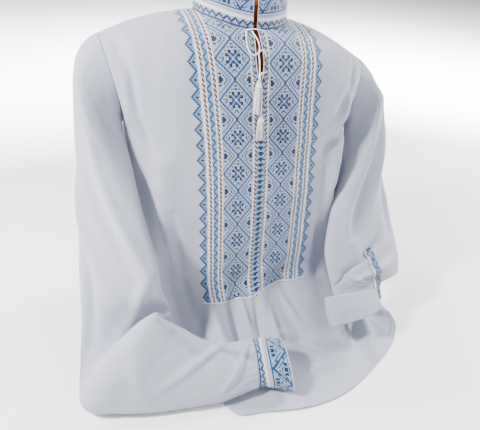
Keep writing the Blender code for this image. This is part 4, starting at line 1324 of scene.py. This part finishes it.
def set_camera():
    """The photograph's view, which stands to the wearer's right and looks down."""
    yaw, pitch, roll = (math.radians(a) for a in CAMERA_TURNS)
    forward = np.array((-math.sin(yaw) * math.cos(pitch), math.cos(yaw) * math.cos(pitch),
                        -math.sin(pitch)))
    level_right = np.array((math.cos(yaw), math.sin(yaw), 0))
    level_up = np.cross(level_right, forward)
    right = level_right * math.cos(roll) + level_up * math.sin(roll)
    up = level_up * math.cos(roll) - level_right * math.sin(roll)
    spot = (math.sin(yaw) * CAMERA_AWAY + CAMERA_SHIFT, -math.cos(yaw) * CAMERA_AWAY, CAMERA_HEIGHT)
    data = bpy.data.cameras.new("camera")
    data.sensor_width = 36
    data.lens = CAMERA_LENS
    camera = bpy.data.objects.new("camera", data)
    bpy.context.scene.collection.objects.link(camera)
    rows = [(right[i], up[i], -forward[i], spot[i]) for i in range(3)]
    camera.matrix_world = Matrix(rows + [(0, 0, 0, 1)])
    bpy.context.scene.camera = camera


def area_light(name, spot, aim, size, power, colour):
    data = bpy.data.lights.new(name, "AREA")
    data.shape = "DISK"
    data.size = size
    data.energy = power
    data.color = colour
    lamp = bpy.data.objects.new(name, data)
    bpy.context.scene.collection.objects.link(lamp)
    away = unit(np.array(spot) - np.array(aim))
    side = unit(np.cross((0, 0, 1.0), away))
    up = np.cross(away, side)
    rows = [(side[i], up[i], away[i], spot[i]) for i in range(3)]
    lamp.matrix_world = Matrix(rows + [(0, 0, 0, 1)])


def set_lights():
    world = bpy.data.worlds.new("studio")
    bpy.context.scene.world = world
    world.use_nodes = True
    sky = world.node_tree.nodes["Background"]
    sky.inputs[0].default_value = SKY_COLOUR
    sky.inputs[1].default_value = SKY_STRENGTH
    for name, spot, aim, size, power in LAMPS:
        colour = KEY_COLOUR if name == "key" else (1.0, 1.0, 1.0)
        area_light(name, spot, aim, size, power, colour)


def floor_piece(material):
    r = FLOOR_REACH
    corners = [(-r, -r, 0), (r, -r, 0), (r, r, 0), (-r, r, 0)]
    thing = fresh_mesh("table", corners, [(0, 1, 2, 3)], smooth=False)
    thing.data.materials.append(material)


def declare(thing, slot, *nodes):
    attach(thing, "root")
    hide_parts(*nodes)


def main():
    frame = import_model()
    set_camera()
    set_lights()

    stitched = linen("stitched_linen", True)
    plain = linen("plain_linen", False)
    thread = thread_material("thread", False)
    strands = thread_material("tassel_thread", True)
    form = frame["nodes"]["form"]
    form.data.materials.clear()
    form.data.materials.append(form_material())
    floor_piece(floor_material())

    front = front_piece(stitched)
    declare(front, "linen", "front")
    back = back_piece(plain)
    declare(back, "linen", "back")
    sleeve_right, _ = sleeve_piece("cloth_sleeve_right", SLEEVE_RIGHT, -1,
                                   CUFF_RIGHT_START - CUFF_RIGHT_GAP, CREASES_RIGHT, plain)
    declare(sleeve_right, "linen", "sleeve_right")
    sleeve_left, grid = sleeve_piece("cloth_sleeve_left", SLEEVE_LEFT, 1, 7, CREASES_LEFT, plain)
    declare(sleeve_left, "linen", "sleeve_left")
    cuff_right = cuff_right_piece(stitched)
    declare(cuff_right, "embroidered_linen", "cuff_right")
    cuff_left = cuff_left_piece(stitched)
    declare(cuff_left, "linen", "cuff_left")
    collar = collar_piece(stitched)
    declare(collar, "embroidered_linen", "collar")
    strip = placket_piece(grid, stitched)
    declare(strip, "embroidered_linen", "placket_left")

    rng = np.random.default_rng(11)
    tassel_1 = tassel_piece("threads_tassel_1", TASSEL_1, rng, strands)
    tassel_2 = tassel_piece("threads_tassel_2", TASSEL_2, rng, strands)
    declare(tassel_1, "thread", "tassel_1")
    declare(tassel_2, "thread", "tassel_2")
    for name, route, far_end, held in (("tie_loop", TIE_LOOP, "object", []),
                                       ("tie_upper", TIE_UPPER, "knot", [tassel_1]),
                                       ("tie_lower", TIE_LOWER, "knot", [tassel_2])):
        points, length = smooth_route(route, CORD_DIAMETER * 1.4)
        tie = poly_curve("cord_" + name, points, CORD_DIAMETER / 2, thread)
        declare(tie, "thread", name)


main()
